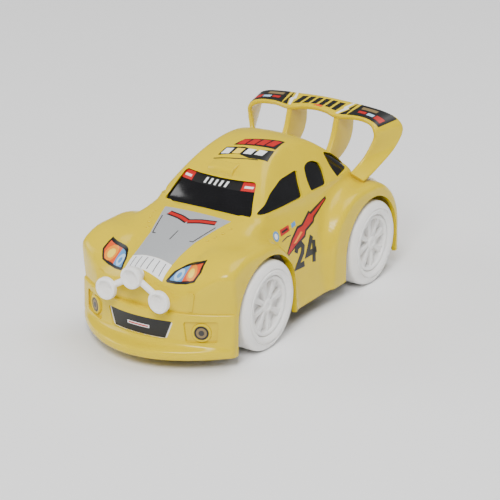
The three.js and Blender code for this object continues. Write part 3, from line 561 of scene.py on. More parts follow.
def steel(name):
    """Drawn steel: fine lines along X in the roughness, over a neutral metal."""
    material, nodes, links, shader = new_material(name)
    place = nodes.new("ShaderNodeTexCoord")
    stretch = nodes.new("ShaderNodeMapping")
    stretch.inputs["Scale"].default_value = (60, 2400, 2400)
    links.new(place.outputs["Object"], stretch.inputs["Vector"])
    lines = nodes.new("ShaderNodeTexNoise")
    lines.inputs["Scale"].default_value = 1
    links.new(stretch.outputs["Vector"], lines.inputs["Vector"])
    uneven_gloss((nodes, links, shader), lines, 0.2, 0.42)
    shades = [(0.3, (0.5, 0.5, 0.52)), (0.7, (0.62, 0.62, 0.64))]
    tone = ramp(nodes, links, lines.outputs["Fac"], shades)
    links.new(tone.outputs["Color"], shader.inputs["Base Color"])
    shader.inputs["Metallic"].default_value = 1
    return material


PLASTICS = {
    "chassis_black": ((0.012, 0.012, 0.013), dict(roughness=0.5, mottle=0.15, bump=0.2)),
    "motor_grey": ((0.55, 0.55, 0.53), dict(roughness=0.42, subsurface=0.1)),
    "gear_natural": ((0.72, 0.69, 0.6), dict(roughness=0.45, subsurface=0.15)),
}
COLOURED_PLASTICS = {
    "body_yellow": ("body", dict(roughness=0.21, mottle=0.02, specular=0.3)),
    "milky_white": ("milky", dict(roughness=0.34, subsurface=0.35, scatter=(0.9, 0.85, 0.8), mottle=0.02)),
    "glazing_black": ("glazing", dict(roughness=0.11, mottle=0.3, bump=0.02)),
}
INKS = {
    "label_white": ((0.85, 0.85, 0.86), dict(roughness=0.4)),
    "label_black": ((0.004, 0.004, 0.004), dict(roughness=0.36, fleck=0.2)),
    "label_charcoal": ((0.03, 0.028, 0.027), dict(roughness=0.35, fleck=0.2)),
    "label_orange": ((0.75, 0.08, 0.005), dict(roughness=0.32)),
    "label_amber": ((0.85, 0.27, 0.005), dict(roughness=0.3)),
    "label_blue": ((0.09, 0.27, 0.55), dict(roughness=0.3)),
    "label_pale_blue": ((0.42, 0.6, 0.8), dict(roughness=0.3)),
    "label_yellow": ((0.95, 0.68, 0.05), dict(roughness=0.32)),
    "label_bronze": ((0.22, 0.15, 0.06), dict(roughness=0.35)),
}
COLOURED_INKS = {
    "label_silver": ("silver", dict(roughness=0.38, fleck=0.04)),
    "label_red": ("red", dict(roughness=0.4)),
}


def finish_named(name):
    """The shared finishes, made once each."""
    if name in bpy.data.materials:
        return bpy.data.materials[name]
    if name in PLASTICS:
        colour, looks = PLASTICS[name]
        return moulded_plastic(name, colour, **looks)
    if name in COLOURED_PLASTICS:
        setting, looks = COLOURED_PLASTICS[name]
        return moulded_plastic(name, tuple(getattr(colours(), setting)), **looks)
    if name in INKS:
        colour, looks = INKS[name]
        return vinyl(name, colour, **looks)
    if name in COLOURED_INKS:
        setting, looks = COLOURED_INKS[name]
        return vinyl(name, tuple(getattr(colours(), setting)), **looks)
    return steel(name)


# ------------------------------------------------------------------ body shell

LIP_REACH = 6.8
LIP_FALL = 0.004365


def bowed_bar(name, bar, profile, corner, columns=81):
    """A bumper: a profile of (depth, lip share, height) rows carried across the car along the bowed
    line y = crown - facing x^2 / bow. Depth counts outwards, the lip share adds the lip's reach
    6.8 - 0.004365 x^2, and the last `corner` mm at each side turn back as a quarter circle."""
    profile = np.asarray(profile, float)
    x = bar.half_width * np.sin(np.linspace(-np.pi / 2, np.pi / 2, columns))[:, None]
    turn = np.clip((np.abs(x) - bar.half_width + corner) / corner, 0, 1)
    rounding = corner * (1 - np.sqrt(1 - turn ** 2 * 0.9999))
    reach = profile[None, :, 0] + profile[None, :, 1] * (LIP_REACH - LIP_FALL * x ** 2)
    held_back = np.where(profile[None, :, 0] > -5, rounding, 0)
    y = bar.crown - bar.facing * x ** 2 / bar.bow + bar.facing * (reach - held_back)
    points = np.stack(np.broadcast_arrays(x, y, profile[None, :, 2]), -1)
    return grid_object(name, points)


FRONT_BAR = Form(half_width=38.4, crown=-73.2, bow=105, facing=-1, top_z=24.6)
FRONT_HOLLOW_HALF_WIDTH = 37.9
REAR_BAR = Form(half_width=38.2, crown=HALF_LENGTH, bow=900, facing=1, top_z=24.8)
FRONT_PROFILE = [
    (-10, 0, 24.6), (-1, 0, 24.6), (-0.6, 0, 24.53), (-0.25, 0, 24.3), (-0.05, 0, 23.9),
    (0, 0, 23.4), (0.15, 0, 18), (0.3, 0, 13), (0.33, 0.05, 12.3), (0.3, 0.1, 11.7), (0.2, 0.2, 11.1),
    (0, 0.42, 10.5), (-0.1, 0.7, 10), (-0.3, 0.9, 9.6), (-0.15, 0.97, 9.3), (0, 1, 8.8), (0, 1, 7.4),
    (-0.05, 1, 6.6), (-0.3, 1, 5.9), (-0.8, 1, 5.5), (-10, 0, 5.5)]
REAR_PROFILE = [
    (-13, 0, 24.8), (-1, 0, 24.8), (-0.55, 0, 24.7), (-0.2, 0, 24.4), (0, 0, 23.8), (0, 0, 11.2),
    (-0.2, 0, 10.6), (-0.55, 0, 10.3), (-1, 0, 10.2), (-13, 0, 10.2)]
HOLLOW_BACK = -14
BELOW_SKIRT_Z = -5


def cavity_bar(name, bar, half_width):
    """The hollow behind a bumper, one wall inside its face and open below."""
    wall = sizes().wall / MM
    inner = Form(half_width=half_width - wall, crown=bar.crown, bow=bar.bow, facing=bar.facing)
    roof_z = bar.top_z - wall
    profile = [(HOLLOW_BACK, 0, roof_z), (-wall, 0, roof_z), (-wall, 0, BELOW_SKIRT_Z),
               (HOLLOW_BACK, 0, BELOW_SKIRT_Z)]
    return bowed_bar(name, inner, profile, 0.5, 33)


WINDSCREEN = [
    (-22.4, 51.3), (-11, 52.0), (0, 52.3), (11, 52.0), (22.4, 51.3), (17.9, 63.3), (-17.9, 63.3)]
DOOR_WINDOW = [
    (-20.6, 52.6), (10.1, 52.1), (12, 57.4), (14.4, 61.9), (12.8, 62.6), (1, 62), (-9.6, 58.9),
    (-18.2, 54.6)]
QUARTER_WINDOW = [
    (17.3, 52.6), (30, 52), (32.1, 57.6), (31.9, 60.8), (27.6, 62.9), (23.6, 63.2), (20, 62.2),
    (18, 57.8)]
REAR_WINDOW = [(40.2, 52.2), (53.4, 54.2), (45.6, 60.9), (37.8, 64), (38.2, 57.6)]
SIDE_WINDOWS = ((DOOR_WINDOW, 21.4), (QUARTER_WINDOW, 21.4), (REAR_WINDOW, 16.5))
SIDE_LEAN = 0.62
SCREEN_FOOT_Y = -27.2
SCREEN_TOP_Y = -3
SIDE_CUT_DEPTH = 24


def shrunk(corners, ease):
    """A polygon drawn in towards its middle by about `ease`, its corners a little more."""
    corners = np.asarray(corners, float)
    offset = corners - corners.mean(0)
    length = np.linalg.norm(offset, axis=1)[:, None]
    return corners - offset / length * ease * 1.3


def window_cutters(ease):
    """Bars through every window opening; `ease` shrinks them for the panes behind. The side bars
    lean in with the cabin, x falling by 0.62 for each mm of height."""
    def through_screen(u, v, depth):
        return u, np.where(depth > 0.5, SCREEN_TOP_Y, SCREEN_FOOT_Y + u ** 2 / 100), v

    screen = loop_resampled(rounded_outline(shrunk(WINDSCREEN, ease), 1.6), 160)
    tools = [prism("cut_screen", screen, 0, 1, through_screen)]
    for side in (1, -1):
        for corners, inner_x in SIDE_WINDOWS:
            def through_side(u, v, depth, side=side, inner_x=inner_x):
                return side * (inner_x - SIDE_LEAN * (v - BELT_Z) + depth), u, v

            outline = rounded_outline(shrunk(corners, ease), 1.8)
            tools.append(prism("cut_side", outline, ease, SIDE_CUT_DEPTH, through_side))
    return tools


ARCH = Form(radius=22.6, inner_x=25, outer_x=HALF_WIDTH + 5, lowered=0.7, rear_forward=0.6)


def arch_cutters():
    """A drum and a box over each wheel."""
    tools = []
    z = round(FRONT_AXLE[2] - ARCH.lowered, 3)
    for side in (1, -1):
        for y in (FRONT_AXLE[1], REAR_AXLE[1] - ARCH.rear_forward):
            drum = [(ARCH.radius, side * ARCH.inner_x), (ARCH.radius, side * ARCH.outer_x)]
            tools.append(turned("cut_arch", drum, (0, y, z), segments=160))
            y0, y1 = y - ARCH.radius, y + ARCH.radius
            box = np.array([(y0, BELOW_SKIRT_Z), (y1, BELOW_SKIRT_Z), (y1, z), (y0, z)])
            tools.append(prism("cut_skirt", box, side * ARCH.inner_x, side * ARCH.outer_x, across))
    return tools


GRILLE = [(-16.4, 20.8), (16.4, 20.8), (13.6, 12.6), (-13.6, 12.6)]
FOG_POCKET = [(20.3, 21.2), (33.2, 21.8), (33.2, 12.6), (21.4, 12)]
FOG_X = 27.2
FOG_Z = 16.6
FACE_TURN = math.atan(2 * FOG_X / FRONT_BAR.bow)
BUMPER_FACE_Y = -73.3
GRILLE_DEPTH = 0.7
FOG_DEPTH = 1.0
IN_FRONT_Y = -90


def bumper_face(x, depth):
    """The y of the front bumper's face, `depth` mm behind its surface."""
    return BUMPER_FACE_Y + x ** 2 / FRONT_BAR.bow + depth


def bumper_pockets():
    """Shallow pockets in the bumper: the grille panel and the two lamp pockets."""
    tools = []
    for corners, floor, flips in ((GRILLE, GRILLE_DEPTH, (1,)), (FOG_POCKET, FOG_DEPTH, (1, -1))):
        def pocket(u, v, depth, floor=floor):
            return u, np.where(depth > 0.5, IN_FRONT_Y, bumper_face(u, floor)), v

        for side in flips:
            outline = rounded_outline(np.asarray(corners) * [side, 1], 1.5)
            tools.append(prism("cut_pocket", loop_resampled(outline, 160), 0, 1, pocket))
    return tools


def loop_resampled(outline, count):
    """The same closed outline with `count` points at even distances."""
    closed = np.vstack([outline, outline[:1]])
    run = np.concatenate([[0], np.cumsum(np.linalg.norm(np.diff(closed, axis=0), axis=1))])
    at = np.linspace(0, run[-1], count, endpoint=False)
    return np.stack([np.interp(at, run, closed[:, 0]), np.interp(at, run, closed[:, 1])], -1)


def on_lamp_pocket(obj, side):
    """Turns a piece that faces forward to the bow of the bumper, and sets it in a lamp pocket."""
    place = Matrix.Translation(Vector((side * FOG_X, bumper_face(FOG_X, 0), FOG_Z)) * MM)
    obj.data.transform(place @ Matrix.Rotation(side * FACE_TURN, 4, "Z"))
    return obj


RIVETS = ((19.4, -33.3), (18.4, -37.3), (16.8, -40.8), (15.1, -44.2))
RIVET_DOME = [(0.75, -0.3), (0.75, 0.28), (0.66, 0.45), (0.48, 0.58), (0.25, 0.65)]
RIVET_SINK = 0.25
FOG_BOSS = [(4.1, 1.2), (4.1, 0.5), (3.9, 0.2), (3.5, 0.05), (3.2, 0.1), (3.05, 0.3), (1.0, 0.3)]
NOSE_STEP = [(20.4, 26), (23.4, 26), (24.4, 33.4), (21.4, 33.4)]
SCOOP = [(-12.9, 61), (-12.7, 65.6), (-11.9, 67), (-7, 68.3), (-2, 67.4), (-2, 61)]
SCOOP_HALF_WIDTH = 6.4
ABOVE_Z = 80.0
AHEAD_Y = -95.0


def small_mouldings():
    """Rivet heads along the bonnet ridges, a round boss in each lamp pocket and a step on each side
    of the nose."""
    heads = []
    for side in (1, -1):
        for x, y in RIVETS:
            at = onto_body(np.array([side * x, y, ABOVE_Z]), np.array([0, 0, -1.0]), -RIVET_SINK)
            heads.append(turned("rivet", RIVET_DOME, at, "Z", 24))
        heads.append(on_lamp_pocket(turned("lamp_boss", FOG_BOSS, (0, 0, 0), "Y", 48), side))
        step = rounded_outline(NOSE_STEP, 0.6) * [side, 1]
        middle_x, middle_z = np.mean(NOSE_STEP, 0)
        start = np.array([side * middle_x, AHEAD_Y, middle_z])
        face = onto_body(start, np.array([0, 1.0, 0]), 0)[1]
        heads.append(soft_prism("step", step, face + 3, face - 0.1, lengthwise, -0.4))
    return joined("small_mouldings", heads)


def roof_scoop():
    """A low wedge on the roof's front edge."""
    side = rounded_outline(SCOOP, 0.7)
    return soft_prism("scoop", side, -SCOOP_HALF_WIDTH, SCOOP_HALF_WIDTH, across, 0.5)


def build_body_shell():
    """The body's skin with its bumpers and scoop, hollowed to one wall, with the openings and the
    arches cut through and the small mouldings added last."""
    s = sizes()
    shell = grid_object("body_shell_moulded", spine_grid(s.skin_rows, s.skin_columns, 0))
    combine(shell, [
        bowed_bar("front_bar", FRONT_BAR, FRONT_PROFILE, 0.8),
        bowed_bar("rear_bar", REAR_BAR, REAR_PROFILE, 2.5),
        roof_scoop()], "UNION")
    combine(shell, [
        grid_object("cavity", spine_grid(110, 96, -s.wall / MM, CAVITY_FLOOR_Z)),
        cavity_bar("front_hollow", FRONT_BAR, FRONT_HOLLOW_HALF_WIDTH),
        cavity_bar("rear_hollow", REAR_BAR, REAR_BAR.half_width),
        *arch_cutters(), *window_cutters(0), *bumper_pockets()], "DIFFERENCE")
    combine(shell, [small_mouldings()], "UNION")
    return finish_piece(shell, finish_named("body_yellow"), replaces=["body_shell"])


LINER_GAP = 0.5
LINER_WALL = 1.2
LINER_SPAN = np.array([(-29.0, 50.7), (64.0, 50.7), (64.0, 80.0), (-29.0, 80.0)])
PANE_EASE = 0.04


def build_glazing():
    """A liner behind the openings whose panes rise into them."""
    outer = -sizes().wall / MM - LINER_GAP
    liner = grid_object("glazing_liner", spine_grid(130, 120, outer))
    panes = grid_object("panes", spine_grid(200, 180, -sizes().pane_depth / MM))
    frames = joined("pane_bars", window_cutters(PANE_EASE))
    combine(panes, [frames], "INTERSECT")
    combine(liner, [panes], "UNION")
    combine(liner, [grid_object("liner_hollow", spine_grid(100, 96, outer - LINER_WALL))], "DIFFERENCE")
    combine(liner, [prism("cabin_only", LINER_SPAN, -HALF_WIDTH, HALF_WIDTH, across)], "INTERSECT")
    return finish_piece(
        liner, finish_named("glazing_black"), replaces=["glazing_insert"])


# ------------------------------------------------------------------ rear wing

FRONT_EDGE = np.array([
    [0, 65.4, 73], [6, 64.4, 72.8], [12.5, 62.2, 72.2], [22, 64.4, 72.3], [29.5, 62.8, 71.9],
    [33, 61.2, 69.6], [33.2, 61.4, 65.4], [30.6, 59.5, 58.6], [28.4, 56.2, 54.4], [27, 51.4, 50.8]])
REAR_EDGE = np.array([
    [0, 76.3, 75.2], [6, 76.2, 75.1], [12.5, 76, 74.9], [22, 75.7, 74.4], [31, 75.6, 73.4],
    [36.4, 77.2, 70.8], [38.2, 78.2, 66], [37.4, 71.5, 58.4], [35.4, 60.6, 51.8], [33.4, 52.6, 47.8]])
WING_HALF_THICKNESS = 1.25
STRUT_X = 12.5
STRUT_HALF_THICKNESS = 1.3
FINE = 1600
WING_STATIONS = 800


def sampled(rows, place):
    """Rows of points read at fractional places along their list."""
    return np.stack([np.interp(place, np.arange(len(rows)), rows[:, k]) for k in range(3)], -1)


def wing_frame(t):
    """For t from -1 (right foot) to 1 (left foot): the ribbon's middle, its chord, and the unit
    normal of its outer side, from smooth curves through the two edges."""
    both = []
    for edge in (FRONT_EDGE, REAR_EDGE):
        full = np.vstack([edge[:0:-1] * [-1, 1, 1], edge])
        both.append(sampled(catmull(full, FINE + 1), (t + 1) / 2 * FINE))
    front, rear = both
    chord = rear - front
    middle = (front + rear) / 2
    run = np.gradient(middle, axis=0)
    normal = np.cross(run, chord)
    normal /= np.linalg.norm(normal, axis=-1, keepdims=True)
    return middle, chord, normal


def wing_surface(t, share, lift):
    """Points on the ribbon's outer side: `share` runs from -0.5 at its front edge to 0.5 at its
    rear edge."""
    place = (np.asarray(t) + 1) / 2 * WING_STATIONS
    stations = wing_frame(np.linspace(-1, 1, WING_STATIONS + 1))
    middle, chord, normal = [sampled(rows, place) for rows in stations]
    normal /= np.linalg.norm(normal, axis=-1, keepdims=True)
    return middle + chord * np.asarray(share)[..., None] + normal * (WING_HALF_THICKNESS + lift)


def strut_outline():
    """A strut's outline in (y, z): curved front and rear edges between the blade and the deck."""
    return np.vstack([
        [(63, 72.4)],
        quadratic((75, 74.4), (78.6, 66), (75.2, 59.5)),
        quadratic((75.2, 59.5), (72, 54.2), (62.4, 51.2))[1:],
        [(60.2, 48.4), (53.6, 54.6)],
        quadratic((55, 56.6), (60, 62), (61.6, 68))])


def build_wing():
    """A ribbon that is bent from foot to foot: at each station the section is a rounded plate,
    chord times |cos|^0.3 across and the half thickness times |sin|^0.5 up."""
    middle, chord, normal = wing_frame(np.linspace(-1, 1, 241))
    a = (np.arange(40) + 0.5) / 40 * 2 * np.pi
    share = np.sign(np.cos(a)) * np.abs(np.cos(a)) ** 0.3 / 2
    up = np.sign(np.sin(a)) * np.abs(np.sin(a)) ** 0.5 * WING_HALF_THICKNESS
    points = middle[:, None] + chord[:, None] * share[:, None] + normal[:, None] * up[:, None]
    wing = grid_object("rear_wing_moulded", points)
    outline = strut_outline()
    struts = [soft_prism("strut", outline, x - STRUT_HALF_THICKNESS, x + STRUT_HALF_THICKNESS, across, 0.45)
              for x in (-STRUT_X, STRUT_X)]
    combine(wing, struts, "UNION")
    return finish_piece(
        wing, finish_named("body_yellow"), replaces=["rear_wing"], angle=40)


def quadratic(a, b, c, count=14):
    """A quadratic curve from a to c that leans towards b."""
    t = np.linspace(0, 1, count)[:, None]
    return (1 - t) ** 2 * np.array(a) + 2 * t * (1 - t) * np.array(b) + t ** 2 * np.array(c)


def soft_prism(name, outline, low, high, place, edge):
    """A bar whose end rims are rounded: towards each end the outline is drawn in along its normals
    by edge (1 - cos) while the depth grows by edge sin."""
    closed = loop_resampled(np.asarray(outline, float), 96)
    tangent = np.roll(closed, -1, 0) - np.roll(closed, 1, 0)
    normal = np.stack([tangent[:, 1], -tangent[:, 0]], -1) / np.linalg.norm(tangent, axis=1)[:, None]
    area = np.sum(closed[:, 0] * np.roll(closed[:, 1], -1) - closed[:, 1] * np.roll(closed[:, 0], -1))
    normal *= np.sign(area)
    turn = np.radians([0, 30, 60, 90])
    inset = edge * (1 - np.sin(turn))
    fall = edge * (1 - np.cos(turn))
    depths = np.concatenate([low + fall, high - fall[::-1]])[:, None]
    insets = np.concatenate([inset, inset[::-1]])
    rings = closed - normal * insets[:, None, None]
    placed = np.broadcast_arrays(*place(rings[..., 0], rings[..., 1], depths + np.zeros(len(closed))))
    return grid_object(name, np.stack(placed, -1))


# ------------------------------------------------------------------ lamps and wheels

LAMP_WIDENING = 1.08
LAMP_FACE = [
    (0.8, 1.9), (2.2, 1.85), (2.7, 1.6), (3.0, 1.0), (3.2, 0.35), (3.4, 0.06), (3.75, 0), (4.1, 0.08),
    (4.33, 0.3), (4.4, 0.65), (4.4, 2.1), (4.3, 2.4), (4.05, 2.6)]
CENTRE_LAMP = np.array([0, -77.6, 38.4])
SIDE_LAMP = np.array([13.3, -77.2, 30.6])
CENTRE_LAMP_LENGTH = 5.6
SIDE_LAMP_LENGTH = 4.2
ARM_ROOT = np.array([0, 3.4, 0])
ARM_END = np.array([0, 3, 0])
ARM_RADIUS = 1.35
STEM_RADIUS = 2.4


def lamp(name, centre, length):
    """A dished lamp that faces forward: a profile of (radius, distance back) turned about Y."""
    profile = np.array(LAMP_FACE + [(3.0, length - 0.3), (2.7, length), (0.8, length)])
    return turned(name, profile * [LAMP_WIDENING, 1], centre, "Y", 72)


def build_lamps():
    """Three lamps on two arms and a stem that reaches back to the nose."""
    hub = CENTRE_LAMP + ARM_ROOT
    bar = lamp("lamp_bar_moulded", CENTRE_LAMP, CENTRE_LAMP_LENGTH)
    parts = []
    for side in (1, -1):
        centre = SIDE_LAMP * [side, 1, 1]
        parts.append(lamp("side_lamp", centre, SIDE_LAMP_LENGTH))
        parts.append(rod("arm", hub, centre + ARM_END, ARM_RADIUS, 32))
    back = onto_body(hub, np.array([0, 1.0, 0]), 0.6)
    parts.append(rod("stem", hub, back, STEM_RADIUS, 40))
    combine(bar, parts, "UNION")
    return finish_piece(bar, finish_named("milky_white"), replaces=["lamp_bar"])


TYRE = [
    (13.2, -6.6), (17.9, -6.6), (18.7, -6.3), (19.25, -5.7), (19.5, -4.9), (19.5, 3.3), (19.42, 4.0),
    (19.2, 4.65), (18.8, 5.2), (18.2, 5.65), (17.5, 5.95), (16.9, 6.2), (16.55, 6.4), (16.35, 6.42),
    (16.2, 6.3), (16.1, 6.05), (15.9, 5.95), (15.72, 6.05), (15.62, 6.35), (15.45, 6.55), (15.2, 6.6),
    (14.7, 6.6), (14.4, 6.5), (13.7, 5.95), (13.3, 5.6), (13.2, 5.3)]
RIM = [
    (0.6, 3.5), (1.35, 3.5), (1.35, -6.6), (2.9, -6.6), (2.9, 0.6), (11.4, 0.6), (11.4, -6.6),
    (12.9, -6.6), (12.9, 4.9), (12.8, 5.2), (12.5, 5.38), (12.0, 5.4), (11.6, 5.3), (11.35, 5.05),
    (11.3, 4.7), (11.2, 2.0), (3.1, 2.0), (3.1, 4.6), (2.95, 4.9), (2.6, 5.05), (1.6, 5.05),
    (1.4, 4.9), (1.3, 4.65), (0.6, 4.6)]
SPOKE = np.array([(2.6, -1.0), (7, -1.05), (11.5, -1.75), (11.5, 1.75), (7, 1.05), (2.6, 1.0)])
SPOKE_BACK = 1.8
SPOKE_FACE = 4.3
FIRST_SPOKE = 0.2


def spoke_blades(centre, side):
    """Flat blades round the hub, wider towards the barrel, each turned by its share of a circle."""
    blades = []
    count = sizes().spokes
    for number in range(count):
        angle = 2 * np.pi * number / count + FIRST_SPOKE

        def place(u, v, depth, cos=np.cos(angle), sin=np.sin(angle)):
            return centre[0] + depth, centre[1] + u * cos - v * sin, centre[2] + u * sin + v * cos

        blades.append(soft_prism("spoke", SPOKE, side * SPOKE_BACK, side * SPOKE_FACE, place, side * 0.35))
    return blades


def build_wheels():
    """A tyre, and a rim with a web, a hub and spokes, for each of the four wheels."""
    made = []
    milky = finish_named("milky_white")
    for end in ("front", "rear"):
        for side_name, side in (("left", 1), ("right", -1)):
            wheel = f"{end}_{side_name}"
            centre = middle_of(f"{wheel}_tyre")
            tyre = turned(f"{wheel}_tyre_moulded", np.array(TYRE) * [1, side], centre, "X", 144, True)
            rim = turned(f"{wheel}_rim_moulded", np.array(RIM) * [1, side], centre, "X", 144)
            combine(rim, spoke_blades(centre, side), "UNION")
            for piece, part in ((tyre, "tyre"), (rim, "rim")):
                made.append(finish_piece(piece, milky, f"{end}_wheels", [f"{wheel}_{part}"]))
    return made


# ------------------------------------------------------------------ labels

AIMS = {
    "down": (upright, 95.0, (0, 0, -1.0)),
    "back": (lengthwise, AHEAD_Y, (0, 1.0, 0)),
    "left": (across, 60.0, (-1.0, 0, 0)),
    "right": (across, -60.0, (1.0, 0, 0)),
}
LABEL_ROOT = 0.25
WING_LABEL_ROOT = 0.3


def dense(edge, per_span):
    """Points along a polyline, `per_span` to each span, with its corners kept."""
    edge = np.asarray(edge, float)
    at = np.linspace(0, len(edge) - 1, (len(edge) - 1) * per_span + 1)
    return np.stack([np.interp(at, np.arange(len(edge)), edge[:, k]) for k in range(edge.shape[1])], -1)


def between(edge_a, edge_b, per_span=8, rows=9):
    """A grid of (u, v) points that runs straight across from one edge to the other."""
    a, b = dense(edge_a, per_span), dense(edge_b, per_span)
    t = np.linspace(0, 1, rows)[None, :, None]
    return (1 - t) * a[:, None] + t * b[:, None]


def stroke(path, width):
    """Both edges of a band of even width along a polyline, mitred at its corners."""
    path = np.asarray(path, float)
    step = np.diff(path, axis=0)
    step /= np.linalg.norm(step, axis=1)[:, None]
    before = np.vstack([step[:1], step])
    after = np.vstack([step, step[-1:]])
    normal = np.stack([-(before + after)[:, 1], (before + after)[:, 0]], -1)
    normal /= np.linalg.norm(normal, axis=1)[:, None]
    beside = np.stack([-after[:, 1], after[:, 0]], -1)
    reach = width / 2 / np.maximum(np.sum(normal * beside, 1), 0.45)
    return path - normal * reach[:, None], path + normal * reach[:, None]


def disc_edges(centre, radius, count=24):
    """The upper and lower halves of a disc's edge."""
    return (arc(centre, radius, 176, 4, count), arc(centre, radius, 184, 356, count))


def laid_on(grid, aim, lift, level=0.0):
    """A closed thin label: its grid is carried onto the body along one direction, its top `lift`
    mm over the surface and its underside just inside it."""
    place, far, direction = AIMS[aim]
    u, v = grid[..., 0], grid[..., 1]
    origin = np.stack(np.broadcast_arrays(*place(u, v, np.full_like(u, far))), -1)
    travel = np.broadcast_to(np.array(direction), origin.shape)
    top = onto_body(origin, travel, level + lift)
    return thin_sheet(top, onto_body(origin, travel, level - LABEL_ROOT))


def laid_on_bumper(grid, depth, lift):
    """The same for the front bumper's bowed face or a pocket's floor."""
    u, v = grid[..., 0], grid[..., 1]
    top = np.stack([u, bumper_face(u, depth - lift) + 0.1, v], -1)
    return thin_sheet(top, top + [0, 0.4 + lift, 0])


def laid_on_wing(grid, lift):
    """The same for the wing: u runs along the ribbon, v across it."""
    u, v = grid[..., 0], grid[..., 1]
    return thin_sheet(wing_surface(u, v, lift), wing_surface(u, v, -WING_LABEL_ROOT))


def label_set(specs, lay):
    """Builds labels from (name, finish, layer, edge, edge) rows; rows that share a name and a
    finish become one piece."""
    lowest = sizes().label_lift / MM
    groups = {}
    for name, finish, layer, edge_a, edge_b in specs:
        grid = between(edge_a, edge_b)
        sheet = lay(grid, lowest * (1 + 0.5 * layer))
        groups.setdefault((name, finish), []).append(sheet)
    return [finish_piece(joined(name, parts), finish_named(finish))
            for (name, finish), parts in groups.items()]


def mirrored(specs):
    """Each row as it is on the left, and again on the right with its first coordinate negated."""
    rows = [(f"{name}_left", *rest) for name, *rest in specs]
    for name, finish, layer, a, b in specs:
        across_car = [np.asarray(edge) * [-1, 1] for edge in (a, b)]
        rows.append((f"{name}_right", finish, layer, *across_car))
    return rows


def bonnet_labels():
    """A silver panel down the bonnet, its white lower end, dark vent lines and one plain chevron."""
    rows = [
        ("bonnet_panel", "label_silver", 0, [(-16.8, -29), (-11.2, -47.6), (-10, -57), (-9.8, -61.6)],
         [(16.8, -29), (11.2, -47.6), (10, -57), (9.8, -61.6)]),
        ("bonnet_panel_end", "label_white", 0, [(-9.8, -61.7), (-9.7, -68.6)],
         [(9.8, -61.7), (9.7, -68.6)]),
    ]
    for x in (-7.5, -4.5, -1.5, 1.5, 4.5, 7.5):
        line = stroke([(x, -62.6), (x * 1.02, -68)], 0.3)
        rows.append(("bonnet_panel_lines", "label_charcoal", 1, *line))
    for path in ([(-13.6, -35.6), (-10.2, -47.4), (-8.6, -47.6)],
                 [(13.6, -35.6), (10.2, -47.4), (8.6, -47.6)],
                 [(0, -43.4), (0, -49.6)]):
        rows.append(("bonnet_vents", "label_charcoal", 1, *stroke(path, 0.45)))
    for side in (-1, 1):
        band = [(side * 12, -33), (side * 5, -34.6), (0, -36.6)]
        rows.append(("bonnet_chevron", "label_black", 1, *stroke(band, 3.2)))
        rows.append(("bonnet_chevron_red", "label_red", 2, *stroke(band, 1.7)))
    return label_set(rows, lambda grid, lift: laid_on(grid, "down", lift))


def windscreen_labels():
    """A sun strip of slanted bars along the top of the windscreen, with red end patches."""
    level = -sizes().pane_depth / MM
    rows = [("sun_strip", "label_black", 0, [(-19.0, 59.8), (19.0, 59.8)], [(-17.8, 62.9), (17.8, 62.9)])]
    for number in range(5):
        x = -5.2 + 2.6 * number
        rows.append(("sun_strip_bars", "label_white", 1, [(x - 0.8, 60.3), (x + 0.3, 60.3)],
                     [(x - 0.3, 62.2), (x + 0.8, 62.2)]))
    for side in (1, -1):
        rows.append(("sun_strip_ends", "label_red", 1, [(side * 12.6, 59.9), (side * 18.8, 59.9)],
                     [(side * 12.2, 62.7), (side * 17.8, 62.7)]))
        mark = stroke([(side * 13.6, 61.2), (side * 17.4, 61.2)], 0.7)
        rows.append(("sun_strip_marks", "label_white", 2, *mark))
    return label_set(rows, lambda grid, lift: laid_on(grid, "back", lift, level))


def roof_label():
    """A slanted burst on the roof: red blocks over a black band with white and yellow shapes."""
    rows = [
        ("roof_band", "label_black", 0, [(-6.4, -4.2), (2, -1.6), (8, -2.4), (16.4, -0.4)],
         [(-5.6, 1.2), (2.6, 3.4), (8.4, 2.8), (15.2, 7.0)]),
        ("roof_shadow", "label_black", 0, [(-3.4, 3.4), (14.9, 8.1)], [(-1.4, 9.3), (14.2, 17.0)]),
        ("roof_line", "label_charcoal", 0, *stroke([(-7.4, -6.2), (2.6, -4.4), (12.4, -1.8)], 0.5)),
    ]
    for number in range(4):
        x, y = -4.4 + 4.9 * number, -2.4 + 1.2 * number
        ink = ("label_white", "label_yellow", "label_white", "label_white")[number]
        rows.append(("roof_shapes_" + ink[6:], ink, 1, [(x - 1.2, y - 0.9), (x + 2.4, y - 0.1)],
                     [(x - 0.6, y + 2.9), (x + 2.9, y + 3.6)]))
        x, y = -0.6 + 4.0 * number, 4.9 + 1.35 * number
        rows.append(("roof_blocks", "label_red", 1, [(x - 1.6, y - 0.6), (x + 1.7, y + 0.3)],
                     [(x - 0.8, y + 4.0 + 0.45 * number), (x + 2.3, y + 5.0 + 0.45 * number)]))
    return label_set(rows, lambda grid, lift: laid_on(grid, "down", lift))


NUMBER_Y = 5.8
NUMBER_FOOT_Z = 24.3
NUMBER_SLANT = 0.2


